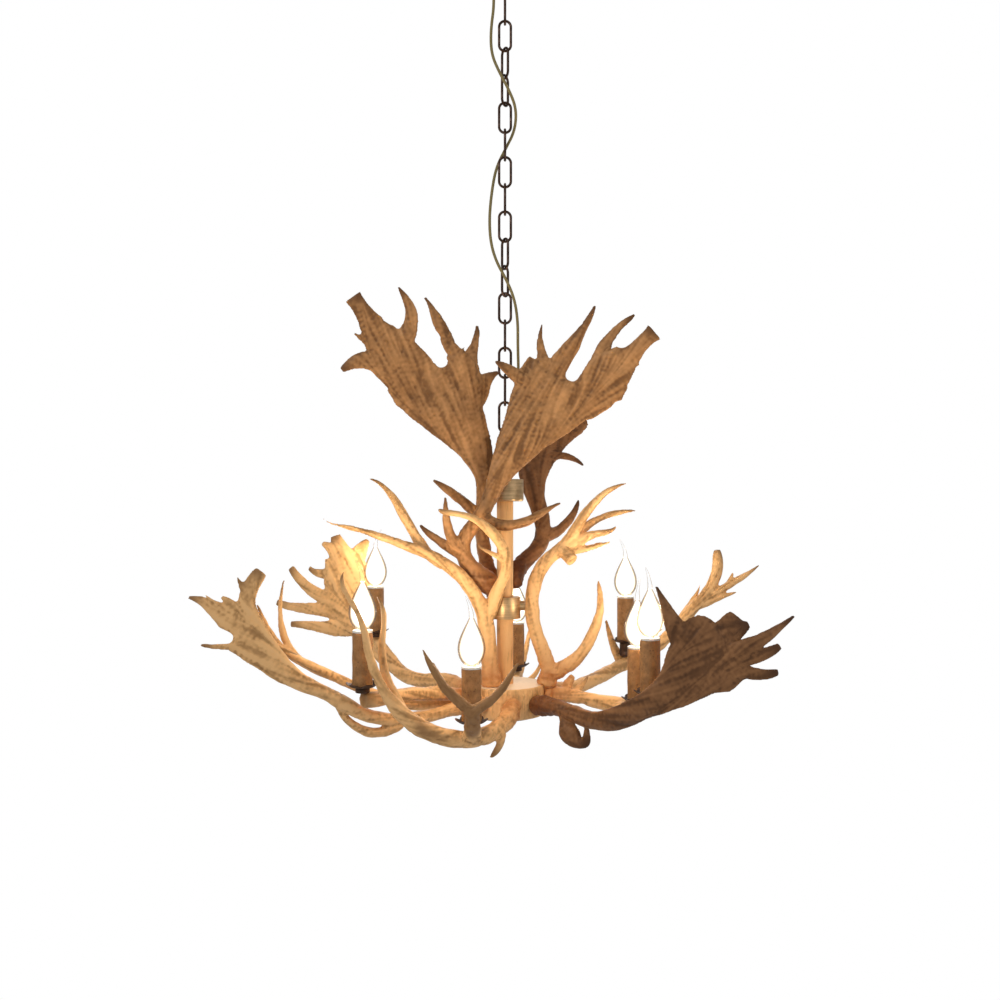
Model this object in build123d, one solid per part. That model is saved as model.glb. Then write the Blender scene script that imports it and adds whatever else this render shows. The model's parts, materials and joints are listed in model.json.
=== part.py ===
from build123d import *
from math import cos, pi, radians, sin
import os

# Antler chandelier: resin antlers screwed round a hub and column, seven candle lamps,
# hung on a link chain from a ceiling canopy. Millimetres, +Z up, +X right, the viewer at -Y.
# The origin is the middle of the ceiling plate, where the chandelier hangs.

os.makedirs("parts", exist_ok=True)

# ---------------------------------------------------------------- driving dimensions
seat_gap = 0.3            # play between round faces that seat on each other
wire_overlap = 2.0        # how far a stem runs into its eye's wire

bracket_length = 100.0
bracket_width = 24.0
bracket_thickness = 2.5
bracket_hole_radius = 2.6
bracket_hole_spacing = 84.0
canopy_screw_spacing = 64.0
canopy_screw_radius = 2.0
canopy_screw_head_radius = 4.5
canopy_screw_head_height = 3.0
boss_radius = 8.5
boss_height = 8.0
canopy_radius = 60.0
canopy_depth = 30.0
canopy_wall = 1.4
canopy_corner = 9.0

hook_stem_radius = 4.0
hook_nut_flats = 15.0
hook_nut_height = 5.0
eye_radius = 11.0         # outside radius of the ceiling eye
eye_wire = 4.0
ring_radius = 10.5        # outside radius of the two round rings
ring_wire = 3.5

link_count = 18
link_length = 45.6        # outside
link_width = 20.0         # outside
link_wire = 3.6
twisted_links = (6, 7, 8, 13, 14, 15)   # counted from the lowest link
link_twist = -30.0                      # extra turn of each twisted link, degrees

cord_diameter = 4.0
cord_hole_radius = 7.5    # in the canopy, wide enough for the cord as the chain swings
cord_wire_radius = 1.5    # the hole in the collar for the wires inside the cord

column_length = 285.0     # hub's top to upper collar's top
column_eye_radius = 10.0
eye_stem_length = 20.0    # from the collar's top down into the tube
column_radius = 11.5
tube_radius = 6.0
tube_wall = 1.6
column_socket = 4.0       # how far the column runs up into the upper collar
upper_collar_radius = 26.0
upper_collar_height = 31.0
upper_collar_wall = 1.6
upper_collar_plate = 3.5
lower_collar_radius = 22.0
lower_collar_height = 30.0
lower_collar_level = 91.0  # hub's top to the collar's lower edge
collar_boss_radius = 7.0
collar_boss_rise = 17.4   # above the lower collar's lower edge
collar_boss_reach = 27.7
collar_screw_radius = 2.0
collar_screw_length = 24.0
collar_wall_gap = 1.0     # from the column to the screw's end

hub_radius = 56.0
hub_height = 42.0
hub_edge = 2.5
foot_overlap = 4.0        # how far an antler's foot reaches in before it is cut to its seat
neck_size = 14.0          # the neck between an upper antler's foot and the column
hub_pocket_radius = 34.0
hub_pocket_depth = 24.0
hub_cover_radius = 44.0
hub_cover_thickness = 3.0
finial_radius = 11.0
finial_height = 13.0
finial_floor = 2.5        # left under the nut's blind bore

sleeve_radius = 13.0
sleeve_wall = 1.2
sleeve_height = 68.0
pan_radius = 21.0
pan_thickness = 1.2
pan_lip = 3.0
candle_base_radius = 9.0
base_clearance = 4.0      # round a candle's base where its arm is cut flat
pan_clearance = 1.0       # round a pan and a sleeve
holder_rim_height = 3.0
holder_wall = 4.0
holder_step = 0.4         # the holder's rim inside the sleeve's outline
thread_radius = 7.0       # E14 lamp thread
thread_depth = 24.0
bulb_radius = 17.5
bulb_height = 60.0        # cap's top to the neck of the bent tip
bulb_glass = 0.9
bulb_tip_rise = 27.0
bulb_tip_bend = 9.0

# Candles: x, y, height of the pan's underside above the hub's top, height of the base under
# the pan, and the direction in degrees to which the lamp's glass tip leans.
candles = {
    "front_left": (-178, -155, 22, 6, 180),
    "front_centre": (-42, -150, -24, 7, 150),
    "right_front": (182, -150, 12, 6, 120),
    "right_side": (173, -95, -7, 6, 60),
    "back_right": (186, 150, 35, 20, 170),
    "back_centre": (18, 207, -12, 6, 30),
    "back_left": (-200, 150, 50, 6, 0),
}

# ---------------------------------------------------------------- levels down the hanging line
canopy_bottom = -canopy_depth
eye_centre = canopy_bottom - eye_radius
top_pivot = eye_centre - eye_radius + eye_wire + seat_gap / 2
top_ring_centre = top_pivot + seat_gap / 2 + ring_wire - ring_radius
ring_pivot = top_ring_centre - ring_radius + ring_wire + seat_gap / 2
link_inside = link_length - 2 * link_wire
link_pitch = link_inside - seat_gap
first_link = ring_pivot + seat_gap / 2 + link_wire - link_length / 2
last_link = first_link - (link_count - 1) * link_pitch
lamp_pivot = last_link - link_inside / 2 + seat_gap / 2
lamp_ring_centre = lamp_pivot + seat_gap / 2 + ring_wire - ring_radius
column_eye_top = lamp_ring_centre - ring_radius + ring_wire + seat_gap + eye_wire
column_eye_centre = column_eye_top - column_eye_radius
column_top = column_eye_top - 2 * column_eye_radius
hub_top = column_top - column_length

# The cord's route beside the chain, top to bottom: in the canopy, round the links, to the collar.
cord_route = [
    (-20, 0, canopy_bottom + 8), (-20, 0, canopy_bottom - 17), (-17, -4, -82), (-15, -7, -116),
    (-20, -6, -152), (-19, -10, -186), (-8, -17, -214), (6, -18, -240), (16, -8, -262),
    (14, 9, -286), (0, 18, -310), (-13, 13, -338), (-19, 4, -376), (-22, -4, -414),
    (-20, -8, -448), (-12, -15, -476), (1, -19, -500), (13, -13, -526), (18, -3, -556),
    (18, 4, -590), (19, 6, -626), (18, 6, -662), (17, 9, -698), (10, 14, -728),
    (2, 17, -753), (0, 17, column_top + seat_gap),
]
cord_hole_top = (-20, 0)
cord_hole_collar = (0, 17)

# ---------------------------------------------------------------- antler stations
# A limb is a run of stations, root first: x, y, z, width, thickness. The places are measured
# from the middle of the hub's top. The width lies across the antler's face.


def on_hub(angle, width, thickness):
    """Station at the hub's side, half way up it, where an antler is screwed on."""
    turn = radians(angle)
    reach = hub_radius - foot_overlap
    return (reach * cos(turn), reach * sin(turn), -hub_height / 2, width, thickness)


def on_column(angle, level, width, thickness):
    """Station beside the column, where the foot of an upper antler is screwed on."""
    turn = radians(angle)
    reach = column_radius + width / 2 - 3
    return (reach * cos(turn), reach * sin(turn), level, width, thickness)


def neck(angle, level):
    """Station in the column's side, from which an upper antler's foot starts."""
    turn = radians(angle)
    reach = column_radius - foot_overlap
    return (reach * cos(turn), reach * sin(turn), level, neck_size, neck_size)


def under(candle, size):
    """Station under a candle's base, where an arm carries it."""
    x, y, pan, base, lean = candles[candle]
    return (x, y, pan - base - size / 2 + 1, size, size)


stations_of_upper_left_palm = [
    [on_column(135, 136, 28, 26), (-24, 20, 154, 23, 21), (-30, 24, 185, 20, 19), (-33, 27, 234, 20, 18),
     (-30, 27, 282, 24, 17), (-37, 25, 316, 43, 14), (-53, 22, 347, 65, 11), (-75, 18, 382, 94, 9),
     (-98, 14, 417, 122, 8), (-112, 12, 442, 127, 4)],  # beam
    [(-103, 16, 395, 52, 5), (-137, 10, 436, 76, 8), (-166, 4, 472, 62, 8), (-187, -2, 502, 37, 7),
     (-203, -7, 526, 24, 6), (-212, -10, 539, 28, 4)],  # lobe
    [(-150, 6, 464, 31, 5), (-134, 4, 498, 24, 8), (-132, 2, 520, 17, 7), (-139, 0, 538, 11, 5),
     (-149, -2, 554, 4, 3)],  # tine
    [(-72, 14, 420, 45, 5), (-68, 12, 461, 30, 8), (-87, 10, 495, 18, 8), (-100, 8, 519, 13, 6),
     (-113, 6, 541, 5, 3)],  # tine
    [(-61, 18, 409, 54, 5), (-54, 22, 447, 38, 8), (-46, 24, 470, 17, 7), (-41, 25, 487, 10, 6),
     (-40, 26, 505, 5, 3)],  # tine
    [(-55, 20, 395, 45, 5), (-33, 24, 421, 31, 7), (-19, 26, 433, 13, 5), (-9, 27, 438, 6, 3)],  # spur
    [(-151, 10, 428, 40, 6), (-184, 4, 451, 30, 8), (-203, 0, 451, 24, 7), (-217, -2, 445, 17, 6),
     (-228, -4, 437, 9, 4)],  # spur
    [(-181, 4, 472, 20, 5), (-199, 0, 481, 11, 4), (-211, -3, 489, 4, 2)],  # spur
    [(-30, 26, 225, 20, 14), (-50, 18, 245, 16, 13), (-75, 9, 266, 13, 10), (-101, 0, 284, 4, 3)],  # brow
]

stations_of_upper_right_palm = [
    [neck(213, 132), on_column(213, 138, 30, 28), (-39, -22, 155, 26, 24), (-54, -29, 174, 23, 21),
     (-57, -35, 195, 20, 19), (-46, -40, 218, 20, 18), (-27, -43, 245, 22, 17), (-14, -44, 273, 26, 16),
     (-1, -43, 302, 41, 13), (19, -41, 335, 63, 11), (42, -38, 368, 90, 9), (66, -36, 400, 115, 8),
     (81, -35, 423, 120, 4)],  # beam
    [(91, -36, 387, 61, 5), (124, -38, 412, 71, 8), (151, -42, 436, 55, 8), (171, -46, 456, 35, 7),
     (188, -50, 471, 23, 6), (202, -53, 483, 29, 4)],  # lobe
    [(110, -37, 405, 50, 6), (135, -38, 408, 44, 8), (155, -39, 404, 31, 6), (163, -40, 400, 20, 4)],
    [(127, -38, 433, 29, 5), (136, -38, 466, 20, 8), (153, -38, 489, 13, 6), (167, -38, 501, 9, 5),
     (177, -38, 509, 4, 3)],  # tine
    [(66, -36, 420, 37, 5), (86, -38, 457, 28, 8), (102, -42, 483, 15, 8), (115, -45, 504, 9, 5),
     (122, -47, 520, 4, 3)],  # tine
    [(57, -35, 431, 22, 5), (49, -34, 461, 14, 6), (48, -33, 479, 8, 4), (51, -32, 497, 3, 2)],  # tine
    [(40, -37, 406, 37, 5), (18, -38, 424, 22, 7), (1, -40, 436, 14, 6), (-14, -42, 445, 4, 2)],  # spur
    [(151, -40, 425, 18, 5), (170, -42, 436, 11, 4), (183, -44, 441, 4, 2)],  # spur
    [(-56, -33, 185, 19, 16), (-71, -38, 200, 16, 14), (-79, -42, 226, 12, 11), (-81, -46, 260, 4, 3)],
    [(-60, -33, 182, 18, 14), (-84, -30, 196, 14, 12), (-102, -28, 208, 10, 9), (-117, -26, 222, 4, 3)],
    [(-31, -43, 237, 19, 15), (-5, -47, 222, 15, 13), (20, -46, 224, 14, 12), (48, -42, 237, 11, 10),
     (76, -36, 252, 4, 3)],  # brow
]

stations_of_upper_back_palm = [
    [neck(52, 141), on_column(52, 147, 27, 25), (27, 31, 167, 23, 20), (48, 45, 188, 23, 19), (55, 58, 215, 23, 18),
     (48, 66, 248, 26, 16), (41, 72, 282, 38, 13), (49, 82, 321, 56, 10), (66, 95, 360, 78, 8),
     (86, 108, 397, 84, 4)],  # beam
    [(76, 98, 366, 31, 5), (100, 116, 401, 27, 8), (119, 130, 426, 15, 6), (137, 142, 452, 5, 2)],  # tine
    [(64, 98, 369, 28, 5), (71, 118, 404, 24, 8), (78, 132, 429, 14, 6), (85, 146, 459, 5, 2)],  # tine
    [(52, 78, 306, 19, 5), (75, 82, 321, 15, 9), (97, 80, 318, 10, 7), (116, 76, 306, 4, 2)],  # tine
    [(51, 50, 204, 22, 15), (74, 60, 209, 17, 13), (94, 70, 226, 13, 10), (109, 80, 256, 4, 3)],  # brow
]

stations_of_mid_left_antler = [
    [(-18, -24, -8, 28, 28), (-19, -24, 8, 28, 28), (-21, -27, 29, 22, 22), (-23, -28, 60, 22, 22),
     (-27, -29, 92, 22, 21), (-37, -34, 119, 21, 19), (-53, -41, 145, 19, 18), (-73, -46, 164, 18, 17),
     (-100, -50, 181, 16, 16), (-131, -54, 194, 13, 13), (-161, -60, 205, 11, 10),
     (-205, -68, 219, 7, 6), (-244, -74, 234, 3, 2)],  # beam
    [(-83, -45, 169, 18, 15), (-107, -44, 187, 15, 14), (-126, -42, 215, 14, 13),
     (-143, -44, 245, 12, 11), (-160, -48, 270, 8, 8), (-183, -54, 285, 3, 2)],  # tine
    [(-29, -29, 94, 21, 19), (-11, -34, 130, 18, 17), (0, -43, 157, 16, 16), (1, -52, 181, 15, 15),
     (-8, -59, 201, 15, 14), (-27, -65, 222, 13, 12), (-55, -69, 236, 9, 9), (-89, -73, 244, 3, 2)],  # fork
    [(1, -46, 167, 12, 10), (-5, -54, 177, 9, 8), (-19, -59, 185, 7, 6), (-36, -63, 196, 3, 2)],  # spur
]

stations_of_mid_right_antler = [
    [(57, -6, -2, 29, 27), (60, -6, 22, 22, 21), (53, -6, 44, 21, 20), (43, -5, 73, 20, 19),
     (38, -4, 102, 20, 18), (39, -4, 128, 20, 18), (46, -6, 153, 20, 18), (60, -10, 174, 19, 17),
     (79, -14, 188, 19, 17), (100, -18, 199, 17, 15), (124, -22, 209, 11, 10), (153, -26, 220, 3, 2)],
    [(72, -12, 185, 19, 15), (94, -20, 211, 15, 14), (113, -26, 240, 14, 13), (134, -32, 263, 10, 9),
     (166, -38, 279, 3, 2)],  # tine
    [(89, -15, 194, 17, 13), (115, -10, 221, 13, 11), (145, -4, 235, 10, 8), (184, 4, 241, 3, 2)],  # tine
    [(84, -16, 188, 14, 11), (110, -20, 188, 10, 9), (130, -22, 194, 7, 6), (145, -24, 198, 3, 2)],  # tine
    [(76, -16, 190, 18, 15), (87, -24, 179, 18, 16), (93, -30, 173, 18, 16)],  # stub
    [(57, -6, 11, 22, 20), (79, -9, 22, 21, 18), (100, -12, 37, 18, 16), (116, -14, 59, 17, 14),
     (128, -14, 88, 14, 12), (132, -14, 115, 10, 8), (129, -14, 145, 3, 2)],  # brow
]

stations_of_front_antler = [
    [on_hub(-77, 24, 24), (8, -62, -24, 23, 23), (0, -90, -35, 24, 23), (-18, -122, -42, 23, 23),
     (-41, -156, -42, 22, 23), (-68, -168, -38, 22, 22), (-95, -174, -28, 22, 22),
     (-124, -178, -8, 21, 21), (-143, -184, 16, 16, 17), (-158, -192, 48, 12, 13),
     (-168, -198, 88, 10, 11), (-181, -202, 127, 7, 8), (-193, -206, 172, 2, 2)],  # beam
    [(-125, -177, -9, 17, 17), (-141, -168, 22, 14, 14), (-151, -170, 54, 11, 12),
     (-150, -176, 90, 9, 9), (-157, -182, 139, 2, 2)],  # tine
    [(-41, -158, -41, 21, 20), (-40, -184, -18, 21, 21), (-40, -198, 1, 19, 19)],  # stem
    [(-45, -197, -4, 18, 18), (-24, -200, 11, 13, 14), (-4, -202, 29, 10, 11), (8, -204, 48, 7, 7),
     (17, -206, 62, 2, 2)],  # fork
    [(-38, -197, -2, 19, 18), (-59, -201, 17, 14, 15), (-79, -205, 41, 11, 12), (-91, -208, 62, 7, 8),
     (-99, -210, 79, 2, 2)],  # fork
    [(-12, -114, -38, 17, 14), (-5, -118, -53, 12, 12), (-10, -120, -64, 9, 9), (-19, -122, -74, 4, 3)],
]

stations_of_left_front_palm = [
    [on_hub(-121, 22, 22), (-62, -59, -23, 20, 21), (-112, -90, -29, 18, 20), (-143, -118, -26, 18, 19),
     (-172, -136, -17, 18, 19), (-212, -150, 7, 19, 18), (-244, -155, 24, 20, 16),
     (-271, -158, 40, 29, 13), (-296, -162, 63, 42, 10), (-316, -165, 82, 52, 9),
     (-333, -167, 98, 47, 4)],  # beam
    [(-314, -165, 81, 32, 5), (-341, -167, 107, 32, 8), (-364, -169, 126, 19, 7),
     (-391, -171, 137, 5, 3)],  # finger
    [(-300, -162, 65, 34, 6), (-313, -164, 94, 38, 9), (-319, -167, 120, 27, 9),
     (-318, -169, 139, 22, 8), (-310, -171, 156, 21, 7), (-300, -174, 169, 17, 5)],  # lobe
    [(-309, -163, 73, 22, 5), (-338, -168, 80, 19, 8), (-359, -172, 78, 11, 7), (-375, -175, 78, 4, 2)],
    [(-343, -168, 113, 12, 5), (-359, -172, 130, 7, 5), (-369, -175, 140, 2, 2)],  # spur
    [(-328, -167, 116, 17, 5), (-341, -170, 130, 12, 6), (-350, -172, 138, 6, 3)],  # spur
    [(-318, -169, 138, 14, 5), (-326, -172, 153, 8, 4), (-330, -174, 162, 3, 3)],  # spur
    [(-133, -114, -30, 15, 15), (-153, -122, -40, 14, 15), (-177, -130, -38, 13, 14),
     (-198, -138, -23, 10, 12), (-208, -143, -8, 9, 9), (-214, -148, 9, 5, 4)],  # loop
]

stations_of_left_rear_antler = [
    [on_hub(174, 18, 18), (-90, -22, -25, 17, 17), (-134, -58, -17, 16, 16), (-171, -88, 1, 14, 15),
     (-201, -106, 18, 13, 14), (-238, -116, 36, 12, 13), (-278, -122, 60, 10, 11),
     (-299, -126, 85, 8, 9), (-316, -130, 124, 3, 2)],  # beam
    [(-219, -110, 26, 13, 13), (-245, -124, 43, 12, 12), (-274, -132, 61, 9, 9), (-301, -138, 81, 4, 3)],
    [(-263, -119, 51, 10, 10), (-286, -112, 83, 9, 9), (-292, -104, 119, 6, 6), (-289, -96, 152, 3, 2)],
]

stations_of_back_left_palm = [
    [on_hub(137, 23, 23), (-72, 64, -13, 23, 22), (-102, 88, -12, 22, 20), (-131, 108, -15, 21, 19),
     (-160, 130, -7, 21, 18), (-187, 150, 11, 22, 17), (-208, 168, 36, 34, 13), (-225, 180, 66, 60, 10),
     (-239, 186, 97, 79, 9), (-250, 188, 135, 76, 8), (-255, 188, 167, 63, 4)],  # beam
    [(-141, 116, -15, 21, 17), (-164, 134, -2, 21, 18), (-182, 144, 18, 20, 18), under("back_left", 18)],
    [(-248, 188, 129, 33, 5), (-274, 190, 139, 24, 8), (-295, 192, 139, 15, 7), (-311, 194, 148, 8, 5)],
    [(-245, 188, 141, 33, 5), (-264, 188, 168, 30, 7), (-278, 188, 181, 17, 5), (-289, 188, 187, 7, 4)],
    [(-243, 188, 146, 36, 6), (-256, 190, 172, 29, 7), (-266, 192, 189, 22, 6), (-269, 192, 199, 17, 4)],
    [(-236, 188, 157, 30, 5), (-227, 192, 179, 22, 5), (-217, 194, 192, 8, 2)],  # spur
    [(-239, 186, 85, 38, 5), (-275, 188, 97, 28, 8), (-304, 190, 111, 20, 8), (-327, 192, 131, 16, 7),
     (-340, 194, 148, 11, 6)],  # finger
    [(-238, 185, 78, 35, 5), (-282, 188, 80, 24, 8), (-318, 190, 84, 18, 8), (-342, 192, 87, 14, 7),
     (-362, 194, 93, 10, 6)],  # finger
    [(-228, 180, 60, 35, 5), (-267, 184, 53, 27, 8), (-304, 188, 56, 17, 7), (-340, 192, 58, 10, 5)],
]

stations_of_left_arm_antler = [
    [on_hub(-163, 21, 21), (-76, -39, -8, 19, 20), (-100, -74, -1, 19, 20), (-123, -104, 4, 18, 20),
     (-144, -130, 6, 19, 20), under("front_left", 20)],  # beam
    [(-90, -62, -5, 17, 15), (-86, -54, 10, 13, 12), (-93, -48, 25, 8, 7), (-98, -44, 36, 4, 3)],  # spur
]

stations_of_right_front_palm = [
    [on_hub(-43, 26, 27), (55, -52, -22, 26, 27), (78, -80, -21, 22, 24), (104, -110, -26, 23, 20),
     (127, -138, -23, 28, 16), (154, -166, -8, 33, 13), (181, -185, 10, 37, 11), (207, -190, 29, 56, 10),
     (226, -190, 49, 80, 9), (244, -189, 66, 103, 9), (265, -188, 71, 94, 8), (279, -186, 80, 80, 4)],
    [(218, -190, 81, 33, 5), (202, -189, 113, 21, 8), (193, -188, 133, 11, 6), (184, -187, 152, 4, 2)],
    [(257, -188, 80, 33, 5), (272, -183, 98, 34, 8), (281, -179, 108, 30, 6), (286, -177, 114, 24, 4)],
    [(265, -187, 86, 29, 5), (285, -184, 98, 22, 6), (299, -181, 105, 10, 3)],  # lobe
    [(269, -188, 68, 29, 5), (300, -192, 81, 21, 9), (321, -194, 94, 13, 8), (338, -196, 107, 8, 6),
     (350, -197, 117, 4, 2)],  # tine
    [(274, -188, 62, 23, 5), (305, -190, 67, 18, 8), (323, -191, 73, 14, 7), (334, -192, 80, 9, 5)],  # lobe
    [(264, -189, 52, 27, 5), (296, -190, 46, 17, 8), (317, -191, 45, 14, 7), (332, -192, 48, 9, 5)],  # lobe
    [(73, -76, -20, 27, 22), (81, -92, -43, 25, 17), (93, -99, -58, 20, 14), (103, -103, -61, 12, 10),
     (106, -106, -45, 9, 8), (106, -108, -25, 5, 4)],  # hook
]

stations_of_back_right_antler = [
    [on_hub(36, 23, 23), (77, 50, -18, 22, 21), (117, 80, -16, 21, 20), (149, 110, -7, 21, 20),
     (187, 150, 3, 22, 19), (226, 162, 20, 22, 18), (258, 168, 46, 22, 18), (290, 172, 80, 22, 18),
     (315, 174, 108, 20, 17), (331, 176, 136, 20, 17), (334, 176, 161, 20, 16), (333, 176, 177, 13, 9)],
    [(315, 174, 101, 20, 14), (343, 170, 118, 16, 12), (370, 165, 135, 11, 9), (395, 160, 154, 3, 2)],
    [(340, 171, 113, 14, 9), (351, 172, 128, 9, 6), (357, 173, 141, 5, 3)],  # spur
    [(306, 174, 89, 17, 12), (334, 168, 102, 11, 9), (360, 162, 112, 5, 3)],  # spur
    [(264, 170, 49, 19, 13), (285, 180, 80, 14, 11), (299, 186, 100, 9, 8), (309, 190, 122, 3, 2)],  # tine
    [(181, 150, 2, 19, 13), (170, 168, 27, 14, 10), (159, 182, 66, 5, 3)],  # spur
]

stations_of_right_arm_antler = [
    [on_hub(-6, 23, 23), (76, -14, -14, 21, 21), (103, -30, -14, 18, 19), (128, -50, -15, 18, 18),
     under("right_side", 18)],  # beam
    [(113, -38, -16, 18, 17), (143, -70, -18, 16, 16), (165, -108, -13, 16, 16),
     under("right_front", 16)],  # fork
    [(80, -14, -14, 17, 13), (88, -8, -0, 14, 12), (94, -2, 10, 8, 7)],  # spur
    [(92, -22, -13, 17, 13), (107, -14, -0, 10, 8), (116, -8, 11, 4, 3)],  # spur
]

stations_of_back_arm_antler = [
    [on_hub(80, 22, 22), (13, 92, -27, 20, 20), (17, 140, -32, 20, 20), (19, 188, -30, 19, 19),
     (22, 226, -24, 16, 17), (30, 250, -4, 12, 13), (38, 262, 24, 8, 9), (44, 268, 54, 3, 3)],
    [(21, 220, -26, 15, 16), (2, 240, -16, 12, 13), (-14, 252, 8, 8, 9), (-24, 258, 38, 3, 3)],
    [(14, 110, -29, 16, 16), (34, 128, -22, 11, 12), (50, 138, -6, 7, 8), (56, 142, 16, 3, 3)],
]

# ---------------------------------------------------------------- making an antler
least_width = 2.4         # a tine's tip
bay_depth = 600.0         # a bay's cutter goes right through a palm from front to back
bays = {                  # round-bottomed bays between a palm's tines: x, z, radius at each end
    "upper_left_palm": [[(-157, 517, 15), (-160, 524, 15)], [(-90, 451, 8), (-108, 493, 9)],
                        [(-55, 482, 7), (-59, 496, 8)], [(-24, 452, 14), (-22, 460, 14)]],
    "upper_right_palm": [[(65, 471, 8), (67, 480, 9)], [(92, 427, 9), (109, 456, 9)],
                         [(159, 471, 9), (173, 485, 10)]],
    "left_front_palm": [[(-344, 86, 7), (-363, 91, 12)]],
}


def limb(stations, face):
    """One beam, tine or palm, lofted through an ellipse at each station."""
    places = [Vector(*row[:3]) for row in stations]
    facing = Vector(*face)
    sections = []
    across = None
    for i, row in enumerate(stations):
        along = (places[min(i + 1, len(places) - 1)] - places[max(i - 1, 0)]).normalized()
        normal = facing - along * facing.dot(along)
        if across is not None:
            if normal.length < 0.45:
                normal = across - along * across.dot(along)
            if normal.dot(across) < 0:
                normal = normal * -1
        across = normal.normalized()
        plane = Plane(origin=places[i], x_dir=along.cross(across), z_dir=along)
        width = max(row[3], least_width)
        thickness = min(max(row[4], least_width), width)   # an ellipse's long axis stays across
        sections.append(plane * Ellipse(width / 2, thickness / 2).face())
    return loft(sections)


def bay(ends):
    """A cutter for the bay between two tines: a slot that widens from its round bottom."""
    rings = [(Pos(x, z) * Circle(radius)).edges()[0] for x, z, radius in ends]
    return Pos(0, 0, hub_top) * Rot(90, 0, 0) * extrude(make_hull(rings), bay_depth / 2, both=True)


def antler(limbs, face, cutters):
    """An antler's limbs as one solid in its place, its foot cut to what it is screwed to."""
    solid = limb(limbs[0], face)
    for stations in limbs[1:]:
        solid = solid + limb(stations, face)
    solid = Pos(0, 0, hub_top) * solid
    for cutter in cutters:
        solid = solid - cutter
    return largest(solid)


def largest(shape):
    """The largest solid of a cut shape."""
    return max(shape.solids(), key=lambda piece: piece.volume)


def rod(radius, bottom, top, x=0.0, y=0.0):
    """An upright cylinder between two levels."""
    return Pos(x, y, (bottom + top) / 2) * Cylinder(radius, top - bottom)


def save(shape, name):
    export_step(shape, f"parts/{name}.step")


# ---------------------------------------------------------------- pieces at the ceiling
def ceiling_bracket():
    strap = Pos(0, 0, -bracket_thickness / 2) * Box(bracket_length, bracket_width, bracket_thickness)
    strap = fillet(strap.edges().filter_by(Axis.Z), bracket_width / 5)
    bracket = strap + rod(boss_radius, -bracket_thickness - boss_height, -bracket_thickness)
    bracket -= rod(hook_stem_radius + seat_gap, -bracket_thickness - boss_height, -bracket_thickness / 2)
    for side in (-1, 1):
        bracket -= rod(bracket_hole_radius, -bracket_thickness, 0, side * bracket_hole_spacing / 2)
        bracket -= rod(canopy_screw_radius + seat_gap, -bracket_thickness, 0, side * canopy_screw_spacing / 2)
    return bracket


def canopy():
    cup = rod(canopy_radius, canopy_bottom, 0)
    cup = fillet(cup.edges().group_by(Axis.Z)[0], canopy_corner)
    hollow = rod(canopy_radius - canopy_wall, canopy_bottom + canopy_wall, 0)
    hollow = fillet(hollow.edges().group_by(Axis.Z)[0], canopy_corner - canopy_wall)
    cup -= hollow
    cup -= rod(hook_stem_radius + seat_gap, canopy_bottom, 0)
    for side in (-1, 1):
        cup -= rod(canopy_screw_radius + seat_gap, canopy_bottom, 0, side * canopy_screw_spacing / 2)
    cup -= rod(cord_hole_radius, canopy_bottom, canopy_bottom + canopy_wall, *cord_hole_top)
    return cup


def canopy_screws():
    """Two dome-headed screws from under the canopy up into the bracket."""
    screws = []
    for side in (-1, 1):
        x = side * canopy_screw_spacing / 2
        shank = rod(canopy_screw_radius, canopy_bottom, 0, x)
        head = rod(canopy_screw_head_radius, canopy_bottom - canopy_screw_head_height, canopy_bottom, x)
        head = fillet(head.edges().group_by(Axis.Z)[0], canopy_screw_head_height * 2 / 3)
        screws.append(largest(shank + head))
    return Compound(children=screws)


def eye(outside_radius, wire, centre):
    """A closed wire ring standing in the plane of X and Z."""
    return Pos(0, 0, centre) * Rot(90, 0, 0) * Torus(outside_radius - wire / 2, wire / 2)


def ceiling_hook():
    stem = rod(hook_stem_radius, canopy_bottom - wire_overlap, -bracket_thickness)
    return largest(eye(eye_radius, eye_wire, eye_centre) + stem)


def hook_nut():
    top = -bracket_thickness - boss_height
    nut = Pos(0, 0, top - hook_nut_height) * extrude(
        RegularPolygon(hook_nut_flats / 2, 6, major_radius=False), hook_nut_height)
    return nut - rod(hook_stem_radius + seat_gap, top - hook_nut_height, top)


# ---------------------------------------------------------------- chain and cord
def ring(centre, turn):
    """A round ring, turned across what it hangs in."""
    return Rot(0, 0, turn) * eye(ring_radius, ring_wire, centre)


def chain_link(centre, turn):
    """A long link: two half rings joined by straight sides."""
    bend = link_width / 2 - link_wire / 2
    half_straight = (link_length - link_width) / 2
    side = Cylinder(link_wire / 2, 2 * half_straight)
    bow = Rot(90, 0, 0) * Torus(bend, link_wire / 2)
    keep = 2 * link_width
    upper = bow & (Pos(0, 0, keep / 2) * Box(keep, keep, keep))
    lower = bow & (Pos(0, 0, -keep / 2) * Box(keep, keep, keep))
    link = (Pos(bend, 0, 0) * side + Pos(-bend, 0, 0) * side
            + Pos(0, 0, half_straight) * upper + Pos(0, 0, -half_straight) * lower)
    return Pos(0, 0, centre) * Rot(0, 0, turn) * largest(link)


def chain_links():
    links = []
    turn = 90.0
    for number in range(link_count):          # counted from the lowest link
        if number in twisted_links:
            turn += link_twist
        links.append(chain_link(last_link + number * link_pitch, turn))
        turn += 90.0
    return Compound(children=links)


def bend_radii(route):
    """The largest arc at each corner that takes 0.45 of the shorter run."""
    radii = []
    for before, corner, after in zip(route, route[1:], route[2:]):
        arriving = Vector(*corner) - Vector(*before)
        leaving = Vector(*after) - Vector(*corner)
        half_turn = radians(arriving.get_angle(leaving)) / 2
        shorter = min(arriving.length, leaving.length)
        radii.append(0.45 * shorter * cos(half_turn) / sin(half_turn))
    return radii


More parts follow.
